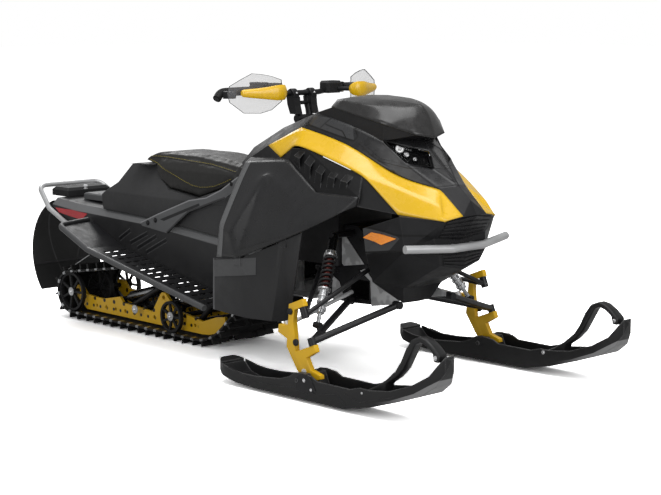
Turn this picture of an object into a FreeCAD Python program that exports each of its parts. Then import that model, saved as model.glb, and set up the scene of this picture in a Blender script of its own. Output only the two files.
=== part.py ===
# Trail snowmobile with twin skis, a drive track, a bucket seat and a turning handlebar.
# Millimetres. +X is forward, +Y is to the rider's left and +Z is up. The ground is z = 0.

import FreeCAD, Part
import math
import os
from FreeCAD import Placement, Rotation, Vector

# Main sizes. Places are written down for the drawn sizes and move with the main ones;
# walls, bores, radii and clearances keep their own values.
machine_length = 2930
machine_width = 1150
machine_height = 1179
track_width = 356
drawn_length, drawn_width, drawn_height = 2930, 1150, 1179
place_scales = {
    "_x": machine_length / drawn_length,
    "_y": machine_width / drawn_width,
    "_z": machine_height / drawn_height,
    "_top": machine_height / drawn_height,
    "_low": machine_height / drawn_height,
}

doc = FreeCAD.newDocument("snowmobile")
sheet = doc.addObject("Spreadsheet::Sheet", "sizes")
row_count = 0


def size(alias, number):
    """Put one named size into the next row of the sheet; a place moves with the main sizes."""
    global row_count
    for ending, scale in place_scales.items():
        if alias.endswith(ending):
            number *= scale
    row_count += 1
    sheet.set("A%d" % row_count, alias)
    sheet.set("B%d" % row_count, str(number))
    sheet.setAlias("B%d" % row_count, alias)


def point(alias, x, y, z):
    """Put one named point of the right-hand half of the machine into the sheet."""
    size(alias + "_x", x)
    size(alias + "_y", y)
    size(alias + "_z", z)


def profile(alias, corners):
    """Put a named side-view outline into the sheet, corner by corner."""
    size(alias + "_corners", len(corners))
    for index, (x, z) in enumerate(corners):
        size("%s_%d_x" % (alias, index), x)
        size("%s_%d_z" % (alias, index), z)


# Fits and walls
size("seat_gap", 0.3)
size("joint_gap", 0.3)
size("press_gap", 0.05)
size("running_gap", 0.1)
size("panel_wall", 4)
size("plate_wall", 3)
size("tube_radius", 12.7)

# Track and its wheels
size("track_width", track_width)
size("belt_wall", 8)
size("lug_height", 25)
size("lug_wall", 9)
size("lug_rows", 48)
size("belt_ground_x", -300)
size("belt_front_radius", 260)
size("rear_wheel_x", -1190)
size("rear_wheel_rise", 7)
size("rear_wheel_radius", 89)
size("mid_wheel_x", -467)
size("fore_wheel_x", -715)
size("mid_wheel_radius", 69)
size("wheel_width", 20)
size("wheel_rim", 10)
size("wheel_hub_radius", 20)
size("wheel_spokes", 7)
size("outer_wheel_offset", track_width / 2 - 18)
size("inner_wheel_offset", track_width / 2 - 118)
size("wheel_axle_radius", 10)
size("drive_x", -10)
size("drive_z", 318)
size("drive_radius", 80)
size("drive_axle_radius", 16)
size("sprocket_width", 40)
size("sprocket_offset", track_width / 2 - 103)

# Slide rails and skid arms
size("rail_offset", track_width / 2 - 58)
size("rail_width", 14)
size("rail_rear_x", -1120)
size("rail_tip_x", -150)
size("rail_tip_z", 138)
size("rail_height", 62)
size("rail_mount_x", -564)
size("rail_mount_z", 172)
size("rail_mount_radius", 22)
size("rail_hole_radius", 8)
size("rail_hole_pitch", 70)
size("slider_height", 11)
size("skid_tube_radius", 13)
size("front_arm_low_x", -360)
size("front_arm_low_z", 88)
size("front_arm_top_x", -120)
size("front_arm_top_z", 322)
size("rear_arm_low_x", -850)
size("rear_arm_low_z", 88)
size("rear_arm_top_x", -430)
size("rear_arm_top_z", 306)
size("skid_arm_offset", track_width / 2 - 86)
size("front_damper_x", -600)
size("rear_damper_x", -980)
size("front_damper_z", 132)
size("rear_damper_z", 104)

# Tunnel and running boards
size("tunnel_width", track_width + 34)
size("tunnel_top_width", track_width - 26)
size("tunnel_front_x", 130)
size("tunnel_mid_x", -569)
size("tunnel_low_end_x", -1120)
size("tunnel_rear_x", -1286)
size("tunnel_front_top", 465)
size("tunnel_mid_top", 524)
size("tunnel_low_end_top", 543)
size("tunnel_rear_top", 558)
size("tunnel_front_low", 205)
size("tunnel_low_end_low", 415)
size("chamfer_drop", 27)
size("board_front_x", 14)
size("board_front_z", 232)
size("board_bend_x", -771)
size("board_bend_z", 391)
size("board_rear_x", -975)
size("board_rear_z", 477)
size("board_outer_y", 380)
size("board_wall", 5)
size("board_tube_radius", 13)
size("board_slots", 15)
size("board_slot_length", 18)
size("board_slot_width", 46)

# Rear end
point("bumper_corner", -1422, 175, 604)
point("bumper_knee", -1290, 212, 512)
point("bumper_foot", -1110, 208, 428)
size("bumper_radius", 11)
size("bumper_bend", 55)
size("flap_width", track_width + 24)
size("flap_wall", 6)
size("flap_top_x", -1292.3)
size("flap_top_z", 545)
size("flap_bulge_x", -1460.65)
size("flap_bulge_z", 343)
size("flap_foot_x", -1398)
size("flap_foot_z", 118)
size("tail_lamp_x", -1330)
size("tail_lamp_length", 124)
size("tail_lamp_width", 240)
size("tail_lamp_height", 40)
size("tail_plinth_x", -1120)
size("tail_plinth_length", 170)
size("tail_plinth_width", 150)
size("tail_plinth_height", 30)
size("cargo_hole_radius", 6.5)
size("cargo_hole_pitch", 100)
size("reflector_rear_x", -1262)
size("reflector_front_x", -1016)
size("reflector_top_z", 516)
size("reflector_low_z", 476)
size("reflector_wall", 3)

brace_back = [(-612, 491), (-628, 505), (-495, 557), (-293, 630), (-182, 650), (-86, 690)]
brace_front = [(20, 752), (20, 704), (-60, 656), (-144, 629), (-294, 579), (-354, 539), (-443, 475)]
profile("brace", brace_back + brace_front)

# Seat and its base
size("seat_half_width", 150)
size("seat_top_half_width", 112)
size("seat_side_height", 150)
profile("seat_upper", [(-658, 782), (-618, 802), (-518, 812), (-338, 814), (-180, 800), (-80, 789)])
profile("seat_nose", [(10, 778)])
profile("seat_belly", [(-28, 738), (-154, 679), (-285, 635), (-485, 658), (-552, 700), (-600, 762)])
profile("seat_rear", [(-668, 768)])
size("base_half_width", track_width / 2)
size("base_rear_x", -925)
size("base_lip", 60)
profile("base_back", [(-835, 664), (-778, 748), (-672, 760)])
profile("base_front", [(70, 730)])
size("wedge_reach", 50)

# Handlebar
size("post_x", 204)
size("post_z", 989)
size("post_lean", 17.5)
size("post_radius", 16)
size("post_length", 90)
size("bearing_radius", 26)
size("bearing_length", 60)
size("over_frame_foot_y", 130)
size("riser_height", 117)
size("riser_radius", 13)
size("riser_y", 28)
size("bar_radius", 11)
size("bar_bend", 40)
point("bar_shoulder", 186, 95, 1092)
point("grip_inner", 170, 235, 1108)
point("bar_end", 118, 372, 1104)
point("bar_hook", 128, 402, 1078)
point("guard_clamp", 215, 172, 1108)
point("guard_knee", 290, 172, 1105)
point("guard_wide", 326, 216, 1104)
point("guard_narrow", 250, 370, 1100)
point("shield_inner", 279, 190, 1103)
point("shield_outer", 206, 402, 1103)
size("guard_wall", 10)
size("control_depth", 56)
size("control_width", 84)
size("control_height", 50)
size("link_radius", 6)
size("shield_wall", 4)
profile("shield_top", [(0, 22), (5, 50), (46, 64), (92, 73), (130, 76), (180, 52)])
profile("shield_low", [(164, -78), (92, -80), (47, -68), (2, -34)])
size("shield_tip_top", 28)
size("shield_tip_low", -34)
size("shield_tip", 8)
size("stud_length", 70)
size("grip_radius", 17)
size("grip_length", 118)

# Front suspension
point("kingpin_top", 723, 505, 353)
point("kingpin_foot", 787, 505, 189)
point("lower_arm_front", 872, 150, 322)
point("lower_arm_rear", 614, 150, 309)
point("upper_arm_front", 751, 165, 455)
point("upper_arm_rear", 470, 165, 424)
size("arm_radius", 13)
size("upper_arm_radius", 9)
size("ball_radius", 15)
size("ball_height", 30)
size("boss_height", 28)
point("shock_top", 618, 236, 572)
point("shock_foot", 726, 428, 262)
size("shock_radius", 17)
size("shock_rod_radius", 8)
size("coil_radius", 27)
size("coil_wire", 5.5)
size("coil_turns", 6)
size("shock_pin_radius", 12)
size("shock_pin_length", 32)
point("tie_rod_inner", 645, 165, 348)
point("tie_rod_outer", 618, 479, 256)
size("tie_rod_radius", 8)
size("tie_rod_eye", 30)
size("spindle_wall", 22)
profile("spindle_hook", [(660, 300), (656, 262), (606, 262), (602, 232), (652, 212), (648, 183)])
profile("spindle_throat", [(686, 286), (688, 300)])

# Skis
size("ski_y", 505)
size("ski_width", 132)
size("ski_wall", 6)
size("ski_rise_x", 1010)
size("ski_tip_length", 225)
size("ski_tail_length", 80)
size("ski_end_steps", 6)
size("handle_width", 46)
size("joint_clearance", 5)
size("ski_tail_x", 290)
size("ski_tip_x", 1465)
size("ski_tip_z", 252)
size("ski_bolt_x", 765)
size("ski_bolt_z", 80)
size("ski_bolt_radius", 8)
size("runner_radius", 6)
size("runner_rear_inset", 150)
size("runner_front_inset", 30)

doc.recompute()


def mm(alias):
    """One size out of the sheet."""
    return float(sheet.get(alias))


def at(alias, side=-1):
    """One named point, on the right for side -1 and on the left for side 1."""
    return Vector(mm(alias + "_x"), side * mm(alias + "_y"), mm(alias + "_z"))


def outline_of(alias):
    """One named outline out of the sheet as x, z pairs."""
    names = ["%s_%d" % (alias, index) for index in range(int(mm(alias + "_corners")))]
    return [(mm(name + "_x"), mm(name + "_z")) for name in names]


def node(label, shape):
    """Keep a shape made with Part functions as a sub-part of its own."""
    piece = doc.addObject("Part::Feature", label)
    piece.Label = label
    place = shape.Placement
    shape.Placement = Placement()
    piece.Shape = shape
    piece.Placement = place
    return piece


def mirrored(shape):
    """The same shape on the other side of the machine."""
    return shape.mirror(Vector(0, 0, 0), Vector(0, 1, 0))


def both(shape):
    """The shape and its mirror image in one compound."""
    return Part.makeCompound([shape, mirrored(shape)])


def rod(start, end, radius):
    """A round bar between two points."""
    return Part.makeCylinder(radius, (end - start).Length, start, end - start)


def bent_path(points, bend):
    """A path of straight runs with a round bend of one radius at each corner."""
    edges = []
    last = points[0]
    for before, corner, after in zip(points, points[1:], points[2:]):
        back = (before - corner).normalize()
        ahead = (after - corner).normalize()
        half = back.getAngle(ahead) / 2
        reach = bend / math.tan(half)
        start = corner + back * reach
        end = corner + ahead * reach
        crown = corner + (back + ahead).normalize() * (bend / math.sin(half) - bend)
        edges.append(Part.makeLine(last, start))
        edges.append(Part.Arc(start, crown, end).toShape())
        last = end
    edges.append(Part.makeLine(last, points[-1]))
    return Part.Wire(edges)


def tube(points, radius, bend):
    """A round tube along a bent path."""
    spine = bent_path(points, bend)
    ring = Part.Wire(Part.makeCircle(radius, points[0], points[1] - points[0]))
    return spine.makePipeShell([ring], True, False)


def side_prism(outline, low_y, high_y):
    """A plate whose outline is given in the side view as x, z pairs."""
    corners = [Vector(x, low_y, z) for x, z in outline]
    face = Part.Face(Part.makePolygon(corners + corners[:1]))
    return face.extrude(Vector(0, high_y - low_y, 0))


def standing_plate(start, end, outline, wall):
    """An upright plate along the plan line from start; outline is run, rise pairs."""
    run = Vector(end.x - start.x, end.y - start.y, 0).normalize()
    corners = [start + run * along + Vector(0, 0, rise) for along, rise in outline]
    face = Part.Face(Part.makePolygon(corners + corners[:1]))
    return face.extrude(Vector(-run.y, run.x, 0) * wall)


def between(low, high, share):
    """The value a share of the way from low to high."""
    return low + (high - low) * share


def on_line(x, x1, z1, x2, z2):
    """Height at x of the straight line through two points of the side view."""
    return z1 + (z2 - z1) * (x - x1) / (x2 - x1)


def new_body(label):
    """An empty body with its label."""
    body = doc.addObject("PartDesign::Body", label)
    body.Label = label
    return body


def sketch_on(body, role, name, loops, offset=0, circles=()):
    """A sketch of closed loops, and circles, on one origin plane of the body."""
    plane = [f for f in body.Origin.OriginFeatures if f.Role == role][0]
    sketch = body.newObject("Sketcher::SketchObject", name)
    sketch.AttachmentSupport = (plane, [""])
    sketch.MapMode = "FlatFace"
    sketch.AttachmentOffset = Placement(Vector(0, 0, offset), Rotation())
    for loop in loops:
        corners = [Vector(a, b, 0) for a, b in loop]
        lines = [Part.LineSegment(p, q) for p, q in zip(corners, corners[1:] + corners[:1])]
        sketch.addGeometry(lines, False)
    for a, b, radius in circles:
        sketch.addGeometry(Part.Circle(Vector(a, b, 0), Vector(0, 0, 1), radius), False)
    return sketch


def pad(body, sketch, length, expression=None, midplane=True):
    """Pad a sketch; the length follows the sheet where an expression is given."""
    feature = body.newObject("PartDesign::Pad", sketch.Name + "_pad")
    feature.Profile = sketch
    feature.Midplane = midplane
    feature.Length = length
    if expression:
        feature.setExpression("Length", expression)
    return feature


# The belt runs round three circles: rear wheel, the bow of the rails and the drive sprocket.
def belt_circles():
    """Centre and radius of the three circles that carry the belt, in the side view."""
    ground = mm("lug_height") + mm("belt_wall")
    rear = (mm("rear_wheel_x"), ground + mm("rear_wheel_rise") + mm("rear_wheel_radius"))
    bow = (mm("belt_ground_x"), ground + mm("belt_front_radius"))
    drive = (mm("drive_x"), mm("drive_z"))
    return [
        (rear, mm("rear_wheel_radius") + mm("seat_gap")),
        (bow, mm("belt_front_radius")),
        (drive, mm("drive_radius") + mm("seat_gap")),
    ]


def belt_loop(grow):
    """Lines and arcs of the loop around the circles, grown outward."""
    circles = belt_circles()
    count = len(circles)
    normals = []
    for index in range(count):
        (x1, z1), r1 = circles[index]
        (x2, z2), r2 = circles[(index + 1) % count]
        run = math.hypot(x2 - x1, z2 - z1)
        heading = math.atan2(z2 - z1, x2 - x1)
        normals.append(heading - math.pi / 2 + math.asin((r2 - r1) / run) * -1)
    pieces = []
    for index in range(count):
        (x1, z1), r1 = circles[index]
        (x2, z2), r2 = circles[(index + 1) % count]
        start_angle = normals[index - 1]
        end_angle = normals[index]
        while end_angle < start_angle:
            end_angle += 2 * math.pi
        pieces.append(("arc", (x1, z1), r1 + grow, start_angle, end_angle))
        ux, uz = math.cos(end_angle), math.sin(end_angle)
        start = (x1 + (r1 + grow) * ux, z1 + (r1 + grow) * uz)
        end = (x2 + (r2 + grow) * ux, z2 + (r2 + grow) * uz)
        pieces.append(("line", start, end, end_angle, end_angle))
    return pieces


def piece_length(piece):
    """Length of one line or arc of the loop."""
    if piece[0] == "arc":
        return piece[2] * (piece[4] - piece[3])
    return math.hypot(piece[2][0] - piece[1][0], piece[2][1] - piece[1][1])


def loop_wire(pieces, y):
    """The loop as a wire in the plane of one y."""
    edges = []
    for piece in pieces:
        if piece[0] == "arc":
            (cx, cz), radius, first, last = piece[1], piece[2], piece[3], piece[4]
            ends = []
            for angle in (first, (first + last) / 2, last):
                ends.append(Vector(cx + radius * math.cos(angle), y, cz + radius * math.sin(angle)))
            edges.append(Part.Arc(ends[0], ends[1], ends[2]).toShape())
        else:
            start = Vector(piece[1][0], y, piece[1][1])
            end = Vector(piece[2][0], y, piece[2][1])
            edges.append(Part.makeLine(start, end))
    return Part.Wire(edges)


def loop_station(pieces, travel):
    """Point and outward angle at a distance along the loop."""
    for piece in pieces:
        length = piece_length(piece)
        if travel <= length:
            share = travel / length
            if piece[0] == "arc":
                angle = between(piece[3], piece[4], share)
                (cx, cz), radius = piece[1], piece[2]
                return cx + radius * math.cos(angle), cz + radius * math.sin(angle), angle
            x = between(piece[1][0], piece[2][0], share)
            z = between(piece[1][1], piece[2][1], share)
            return x, z, piece[3]
        travel -= length
    return loop_station(pieces, travel)


def belt_inner_z(x):
    """Height of the inner face of the ground run at x."""
    line = belt_loop(0)[1]
    return on_line(x, line[1][0], line[1][1], line[2][0], line[2][1])


def make_track():
    """Belt with rows of rubber lugs, three and two bars in turn."""
    half = mm("track_width") / 2
    inner = Part.Face(loop_wire(belt_loop(0), -half))
    outer = Part.Face(loop_wire(belt_loop(mm("belt_wall")), -half))
    belt = outer.extrude(Vector(0, 2 * half, 0)).cut(inner.extrude(Vector(0, 2 * half, 0)))
    surface = belt_loop(mm("belt_wall"))
    total = sum(piece_length(piece) for piece in surface)
    rows = int(mm("lug_rows"))
    bury = mm("belt_wall") / 4
    wall = mm("lug_wall")
    bar = half * 0.58
    lugs = []
    for row in range(rows):
        x, z, angle = loop_station(surface, (row + 0.5) * total / rows)
        outer = half - bar / 2
        centres = (-outer, outer) if row % 2 else (-outer, 0, outer)
        length = bar if row % 2 else bar * 0.9
        for centre in centres:
            lug = Part.makeBox(mm("lug_height") + bury, length, wall)
            lug.translate(Vector(-bury, -length / 2, -wall / 2))
            lug.rotate(Vector(0, 0, 0), Vector(0, 1, 0), -math.degrees(angle))
            lug.translate(Vector(x, centre, z))
            lugs.append(lug)
    node("track", belt.multiFuse(lugs))


def wheel(radius, y):
    """A spoked rubber-rimmed wheel about an axis along y, centred on the origin."""
    width = mm("wheel_width")
    low = Vector(0, y - width / 2, 0)
    along = Vector(0, 1, 0)
    rim = Part.makeCylinder(radius, width, low, along)
    rim = rim.cut(Part.makeCylinder(radius - mm("wheel_rim"), width, low, along))
    hub = Part.makeCylinder(mm("wheel_hub_radius"), width, low, along)
    spokes = []
    for step in range(int(mm("wheel_spokes"))):
        spoke = Part.makeBox(radius - mm("wheel_rim") / 2, width / 2, width / 2)
        spoke.translate(Vector(0, y - width / 4, -width / 4))
        spoke.rotate(Vector(0, 0, 0), along, step * 360 / mm("wheel_spokes"))
        spokes.append(spoke)
    return rim.multiFuse([hub] + spokes)


def make_idler_wheels():
    """Three axles with their wheels, the rear one with the largest."""
    rear_z = belt_circles()[0][0][1]
    gap = mm("seat_gap")
    mid_radius = mm("mid_wheel_radius")
    axles = [
        (mm("rear_wheel_x"), rear_z, mm("rear_wheel_radius")),
        (mm("mid_wheel_x"), belt_inner_z(mm("mid_wheel_x")) + mid_radius + gap, mid_radius),
        (mm("fore_wheel_x"), belt_inner_z(mm("fore_wheel_x")) + mid_radius + gap, mid_radius),
    ]
    sets = []
    for x, z, radius in axles:
        reach = mm("outer_wheel_offset") + mm("wheel_width") / 2
        outer = mm("outer_wheel_offset")
        places = [-outer, outer]
        if radius > mid_radius:
            places.append(0)
        if radius == mid_radius and x < mm("mid_wheel_x"):
            places = [-mm("inner_wheel_offset"), mm("inner_wheel_offset")]
            reach = mm("rail_offset") - mm("rail_width") / 2 - gap
        shaft = Part.makeCylinder(mm("wheel_axle_radius"), 2 * reach, Vector(0, -reach, 0), Vector(0, 1, 0))
        unit = shaft.multiFuse([wheel(radius, y) for y in places])
        unit.translate(Vector(x, 0, z))
        sets.append(unit)
    node("idler_wheels", Part.makeCompound(sets))
    return axles


def make_slide_rails(axles):
    """Two aluminium rails with a raised mount, holes and sliders on the belt."""
    rear_x = mm("rail_rear_x")
    tip_x, tip_z = mm("rail_tip_x"), mm("rail_tip_z")
    ground_x = mm("belt_ground_x")
    lift = mm("slider_height") + mm("seat_gap")
    low_rear = belt_inner_z(rear_x) + lift
    low_front = belt_inner_z(ground_x) + lift
    height = mm("rail_height")
    mount_x, mount_z = mm("rail_mount_x"), mm("rail_mount_z")
    boss = mm("rail_mount_radius")
    bow_radius = mm("belt_front_radius") - lift
    bow_z = low_front + bow_radius
    wheel_x, wheel_z = mm("rear_wheel_x"), belt_circles()[0][0][1]
    outline = [(wheel_x + 62, low_rear), (ground_x, low_front)]
    for share in (0.25, 0.5, 0.75):
        x = between(ground_x, tip_x, share)
        outline.append((x, bow_z - math.sqrt(bow_radius ** 2 - (x - ground_x) ** 2)))
    outline += [
        (tip_x, tip_z - 20),
        (tip_x - 5, tip_z),
        (tip_x - 60, tip_z - 8),
        (ground_x, low_front + height * 0.9),
        (mount_x + 125, low_front + height * 1.25),
        (mount_x + 70, low_front + height * 1.3),
        (mount_x + 45, mount_z - 10),
        (mount_x + boss, mount_z + boss * 0.6),
        (mount_x + boss * 0.5, mount_z + boss),
        (mount_x - boss * 0.5, mount_z + boss),
        (mount_x - boss, mount_z + boss * 0.6),
        (mount_x - 80, low_rear + height * 0.8),
        (mount_x - 290, low_rear + height),
        (mount_x - 315, low_rear + height * 1.4),
        (mount_x - 345, low_rear + height * 1.3),
        (mount_x - 440, low_rear + height),
        (wheel_x + 62, low_rear + height * 1.1),
        (wheel_x + 26, wheel_z + 24),
        (wheel_x - 20, wheel_z + 24),
        (wheel_x - 20, wheel_z - 20),
    ]
    holes = [(mount_x, mount_z, boss * 0.45)]
    pitch = mm("rail_hole_pitch")
    hole = mm("rail_hole_radius")
    x = rear_x + pitch
    while x < ground_x:
        clear = min(abs(x - axle[0]) for axle in axles) > pitch / 2
        if clear:
            holes.append((x, low_rear + height * 0.42, hole))
        x += pitch
    for x, z, _ in axles:
        if x != mm("fore_wheel_x"):
            holes.append((x, z, mm("wheel_axle_radius") + mm("running_gap")))
    for side, word in ((-1, "right"), (1, "left")):
        body = new_body("slide_rail_" + word)
        y = side * mm("rail_offset")
        sketch = sketch_on(body, "XZ_Plane", "rail_outline_" + word, [outline], -y, holes)
        pad(body, sketch, mm("rail_width"), "sizes.rail_width")


def make_skid():
    """Arms, cross tubes and coil-over dampers inside the belt loop."""
    radius = mm("skid_tube_radius")
    gap = mm("seat_gap")
    tunnel_y = mm("tunnel_width") / 2 - mm("plate_wall") - gap
    rail_y = mm("rail_offset") - mm("rail_width") / 2 - gap
    arm_y = mm("skid_arm_offset")
    arms = []
    for end in ("front", "rear"):
        low = Vector(mm(end + "_arm_low_x"), 0, mm(end + "_arm_low_z"))
        top = Vector(mm(end + "_arm_top_x"), 0, mm(end + "_arm_top_z"))
        across = Vector(0, 1, 0)
        parts = [
            rod(low - across * rail_y, low + across * rail_y, radius),
            rod(top - across * tunnel_y, top + across * tunnel_y, radius),
            rod((low + top) / 2 - across * arm_y, (low + top) / 2 + across * arm_y, radius * 0.8),
        ]
        for side in (-1, 1):
            reach = across * side * arm_y
            parts.append(rod(low + reach, top + reach, radius))
        arms.append(parts[0].multiFuse(parts[1:]))
    dampers = []
    for end in ("front", "rear"):
        low = Vector(mm(end + "_arm_low_x"), 0, mm(end + "_arm_low_z"))
        top = Vector(mm(end + "_arm_top_x"), 0, mm(end + "_arm_top_z"))
        head = (low + top) / 2
        foot = Vector(mm(end + "_damper_x"), 0, mm(end + "_damper_z"))
        across = Vector(0, rail_y, 0)
        arms.append(rod(foot - across, foot + across, radius * 0.8))
        line = (head - foot).normalize()
        start = foot + line * (radius * 0.8 + gap)
        stop = head - line * (radius * 0.8 + gap)
        body = rod(start, stop, mm("shock_radius"))
        dampers.append(body.fuse(rod(start + line * 25, stop - line * 45, mm("coil_radius"))))
    node("skid_arms", Part.makeCompound(arms))
    node("skid_dampers", Part.makeCompound(dampers))


def make_drive_axle():
    """Drive axle with two toothed sprockets inside the front of the belt."""
    reach = mm("tunnel_width") / 2 - mm("plate_wall") - mm("seat_gap")
    centre = Vector(mm("drive_x"), 0, mm("drive_z"))
    along = Vector(0, 1, 0)
    axle = Part.makeCylinder(mm("drive_axle_radius"), 2 * reach, centre - along * reach, along)
    rings = []
    for y in (-mm("sprocket_offset"), mm("sprocket_offset")):
        low = centre + along * (y - mm("sprocket_width") / 2)
        rings.append(Part.makeCylinder(mm("drive_radius"), mm("sprocket_width"), low, along))
    node("drive_axle", axle.multiFuse(rings))


def tunnel_station(top, low, wall=0):
    """Right half of a tunnel section as y, z pairs, inset by a wall."""
    half = mm("tunnel_width") / 2 - wall
    top_half = mm("tunnel_top_width") / 2 - wall * 0.4
    band = top - mm("chamfer_drop")
    return [(half, low), (half, band - wall * 0.4), (top_half, top - wall)]


def along_tunnel(x, first, last, edge):
    """Height at x of one edge of the tunnel between two of its named stations."""
    x1, z1 = mm("tunnel_%s_x" % first), mm("tunnel_%s_%s" % (first, edge))
    x2, z2 = mm("tunnel_%s_x" % last), mm("tunnel_%s_%s" % (last, edge))
    return on_line(x, x1, z1, x2, z2)


def tunnel_low_z(x):
    """Height of the lower edge of the tunnel side at x."""
    return along_tunnel(x, "front", "low_end", "low")


def tunnel_top_z(x):
    """Height of the tunnel top at x."""
    if x > mm("tunnel_mid_x"):
        return along_tunnel(x, "mid", "front", "top")
    if x > mm("tunnel_low_end_x"):
        return along_tunnel(x, "low_end", "mid", "top")
    return along_tunnel(x, "rear", "low_end", "top")


def make_tunnel():
    """Sheet-metal channel over the track with chamfered shoulders."""
    wall = mm("plate_wall")
    rear_low = mm("tunnel_rear_top") - mm("chamfer_drop") - 12
    stations = [
        (mm("tunnel_front_x"), mm("tunnel_front_top"), mm("tunnel_front_low")),
        (mm("tunnel_mid_x"), mm("tunnel_mid_top"), tunnel_low_z(mm("tunnel_mid_x"))),
        (mm("tunnel_low_end_x"), mm("tunnel_low_end_top"), mm("tunnel_low_end_low")),
        (mm("tunnel_rear_x"), mm("tunnel_rear_top"), rear_low),
    ]
    body = new_body("tunnel")
    sketches = []
    for index, (x, top, low) in enumerate(stations):
        outer = tunnel_station(top, low)
        inner = tunnel_station(top, low, wall)
        loop = [(-y, z) for y, z in outer] + outer[::-1] + inner + [(-y, z) for y, z in inner[::-1]]
        sketches.append(sketch_on(body, "YZ_Plane", "tunnel_section_%d" % index, [loop], x))
    loft = body.newObject("PartDesign::AdditiveLoft", "tunnel_shell")
    loft.Profile = sketches[0]
    loft.Sections = sketches[1:]
    loft.Ruled = True


def board_z(x):
    """Height of the running board at x."""
    if x > mm("board_bend_x"):
        return on_line(x, mm("board_bend_x"), mm("board_bend_z"), mm("board_front_x"), mm("board_front_z"))
    return on_line(x, mm("board_rear_x"), mm("board_rear_z"), mm("board_bend_x"), mm("board_bend_z"))


def make_running_board(side, word):
    """Open grate from the tunnel side to a tube along its outer edge."""
    gap = mm("seat_gap")
    wall = mm("board_wall")
    inner = mm("tunnel_width") / 2 + gap
    outer = mm("board_outer_y")
    front_x, bend_x, rear_x = mm("board_front_x"), mm("board_bend_x"), mm("board_rear_x")
    xs = [front_x, bend_x, rear_x]
    outline = [(x, board_z(x)) for x in xs] + [(x, board_z(x) - wall) for x in xs[::-1]]
    plate = side_prism(outline, inner, outer)
    slots = int(mm("board_slots"))
    pitch = (front_x - bend_x) / (slots + 1)
    width = mm("board_slot_width")
    cuts = []
    for index in range(slots):
        x = front_x - pitch * (index + 0.75)
        for y in (inner + 12, inner + 12 + width, inner + 12 + 2 * width):
            slot = Part.makeBox(mm("board_slot_length"), width - 12, 200)
            slot.translate(Vector(x - mm("board_slot_length") / 2, y, board_z(x) - 100))
            cuts.append(slot)
    plate = plate.cut(Part.makeCompound(cuts))
    lift = wall / 2
    points = [Vector(x, outer, board_z(x) - lift) for x in xs]
    points.append(Vector(rear_x - 20, inner + mm("board_tube_radius"), board_z(rear_x) + 6))
    edge = tube(points, mm("board_tube_radius"), 30)
    shape = plate.fuse(edge)
    node("running_board_" + word, shape if side > 0 else mirrored(shape))


def chamfered_block(label, x, low, chamfer, holes=()):
    """A block centred across the machine, its top edges chamfered; sizes are named after it."""
    half_length, half_width = mm(label + "_length") / 2, mm(label + "_width") / 2
    loop = [
        (x - half_length, -half_width), (x + half_length, -half_width),
        (x + half_length, half_width), (x - half_length, half_width),
    ]
    body = new_body(label)
    sketch = sketch_on(body, "XY_Plane", label + "_plan", [loop], low, holes)
    block = pad(body, sketch, mm(label + "_height"), "sizes.%s_height" % label, False)
    doc.recompute()
    edges = []
    for index, edge in enumerate(block.Shape.Edges):
        straight = len(edge.Vertexes) == 2 and abs(edge.BoundBox.ZMin - low - mm(label + "_height")) < 0.01
        if straight:
            edges.append("Edge%d" % (index + 1))
    trim = body.newObject("PartDesign::Chamfer", label + "_edges")
    trim.Base = (block, edges)
    trim.Size = chamfer


def make_rear_end():
    """Grab loop, snow flap, lamp, plinth and reflectors behind the seat."""
    gap = mm("seat_gap")
    corner = at("bumper_corner", 1)
    knee = at("bumper_knee", 1)
    foot = at("bumper_foot", 1)
    foot.y = mm("tunnel_width") / 2 + mm("bumper_radius") + gap
    points = [foot, knee, corner]
    points += [Vector(p.x, -p.y, p.z) for p in (corner, knee, foot)]
    node("rear_bumper", tube(points, mm("bumper_radius"), mm("bumper_bend")))
    half = mm("flap_width") / 2
    wall = mm("flap_wall")
    top = (mm("flap_top_x"), mm("flap_top_z"))
    bulge = (mm("flap_bulge_x"), mm("flap_bulge_z"))
    foot = (mm("flap_foot_x"), mm("flap_foot_z"))
    back = [Vector(x, -half, z) for x, z in (top, bulge, foot)]
    front = [p + Vector(wall, 0, 0) for p in back]
    edges = [
        Part.Arc(back[0], back[1], back[2]).toShape(),
        Part.makeLine(back[2], front[2]),
        Part.Arc(front[2], front[1], front[0]).toShape(),
        Part.makeLine(front[0], back[0]),
    ]
    flap = Part.Face(Part.Wire(edges)).extrude(Vector(0, 2 * half, 0))
    node("snow_flap", flap)
    chamfered_block("tail_lamp", mm("tail_lamp_x"), mm("tunnel_rear_top") + gap, 12)
    block_x = mm("tail_plinth_x")
    low = tunnel_top_z(block_x - mm("tail_plinth_length") / 2) + gap
    offset = mm("cargo_hole_pitch") / 2
    holes = [(block_x, y, mm("cargo_hole_radius")) for y in (-offset, offset)]
    chamfered_block("tail_plinth", block_x, low, 6, holes)
    y = mm("tunnel_width") / 2 + gap
    rear, front = mm("reflector_rear_x"), mm("reflector_front_x")
    high, low = mm("reflector_top_z"), mm("reflector_low_z")
    outline = [(rear, high), (front - 124, high), (front, high - 8), (front - 47, low)]
    outline.append((rear + 30, high - 20))
    node("reflectors", both(side_prism(outline, y, y + mm("reflector_wall"))))


def seat_span():
    """Start and length of a cut past both ends of the seat, and the height of its top."""
    corners = outline_of("seat_upper") + outline_of("seat_nose") + outline_of("seat_rear")
    rear, nose = min(x for x, _ in corners), max(x for x, _ in corners)
    reach = mm("wedge_reach")
    return rear - reach, nose - rear + 2 * reach, max(z for _, z in corners)


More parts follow.
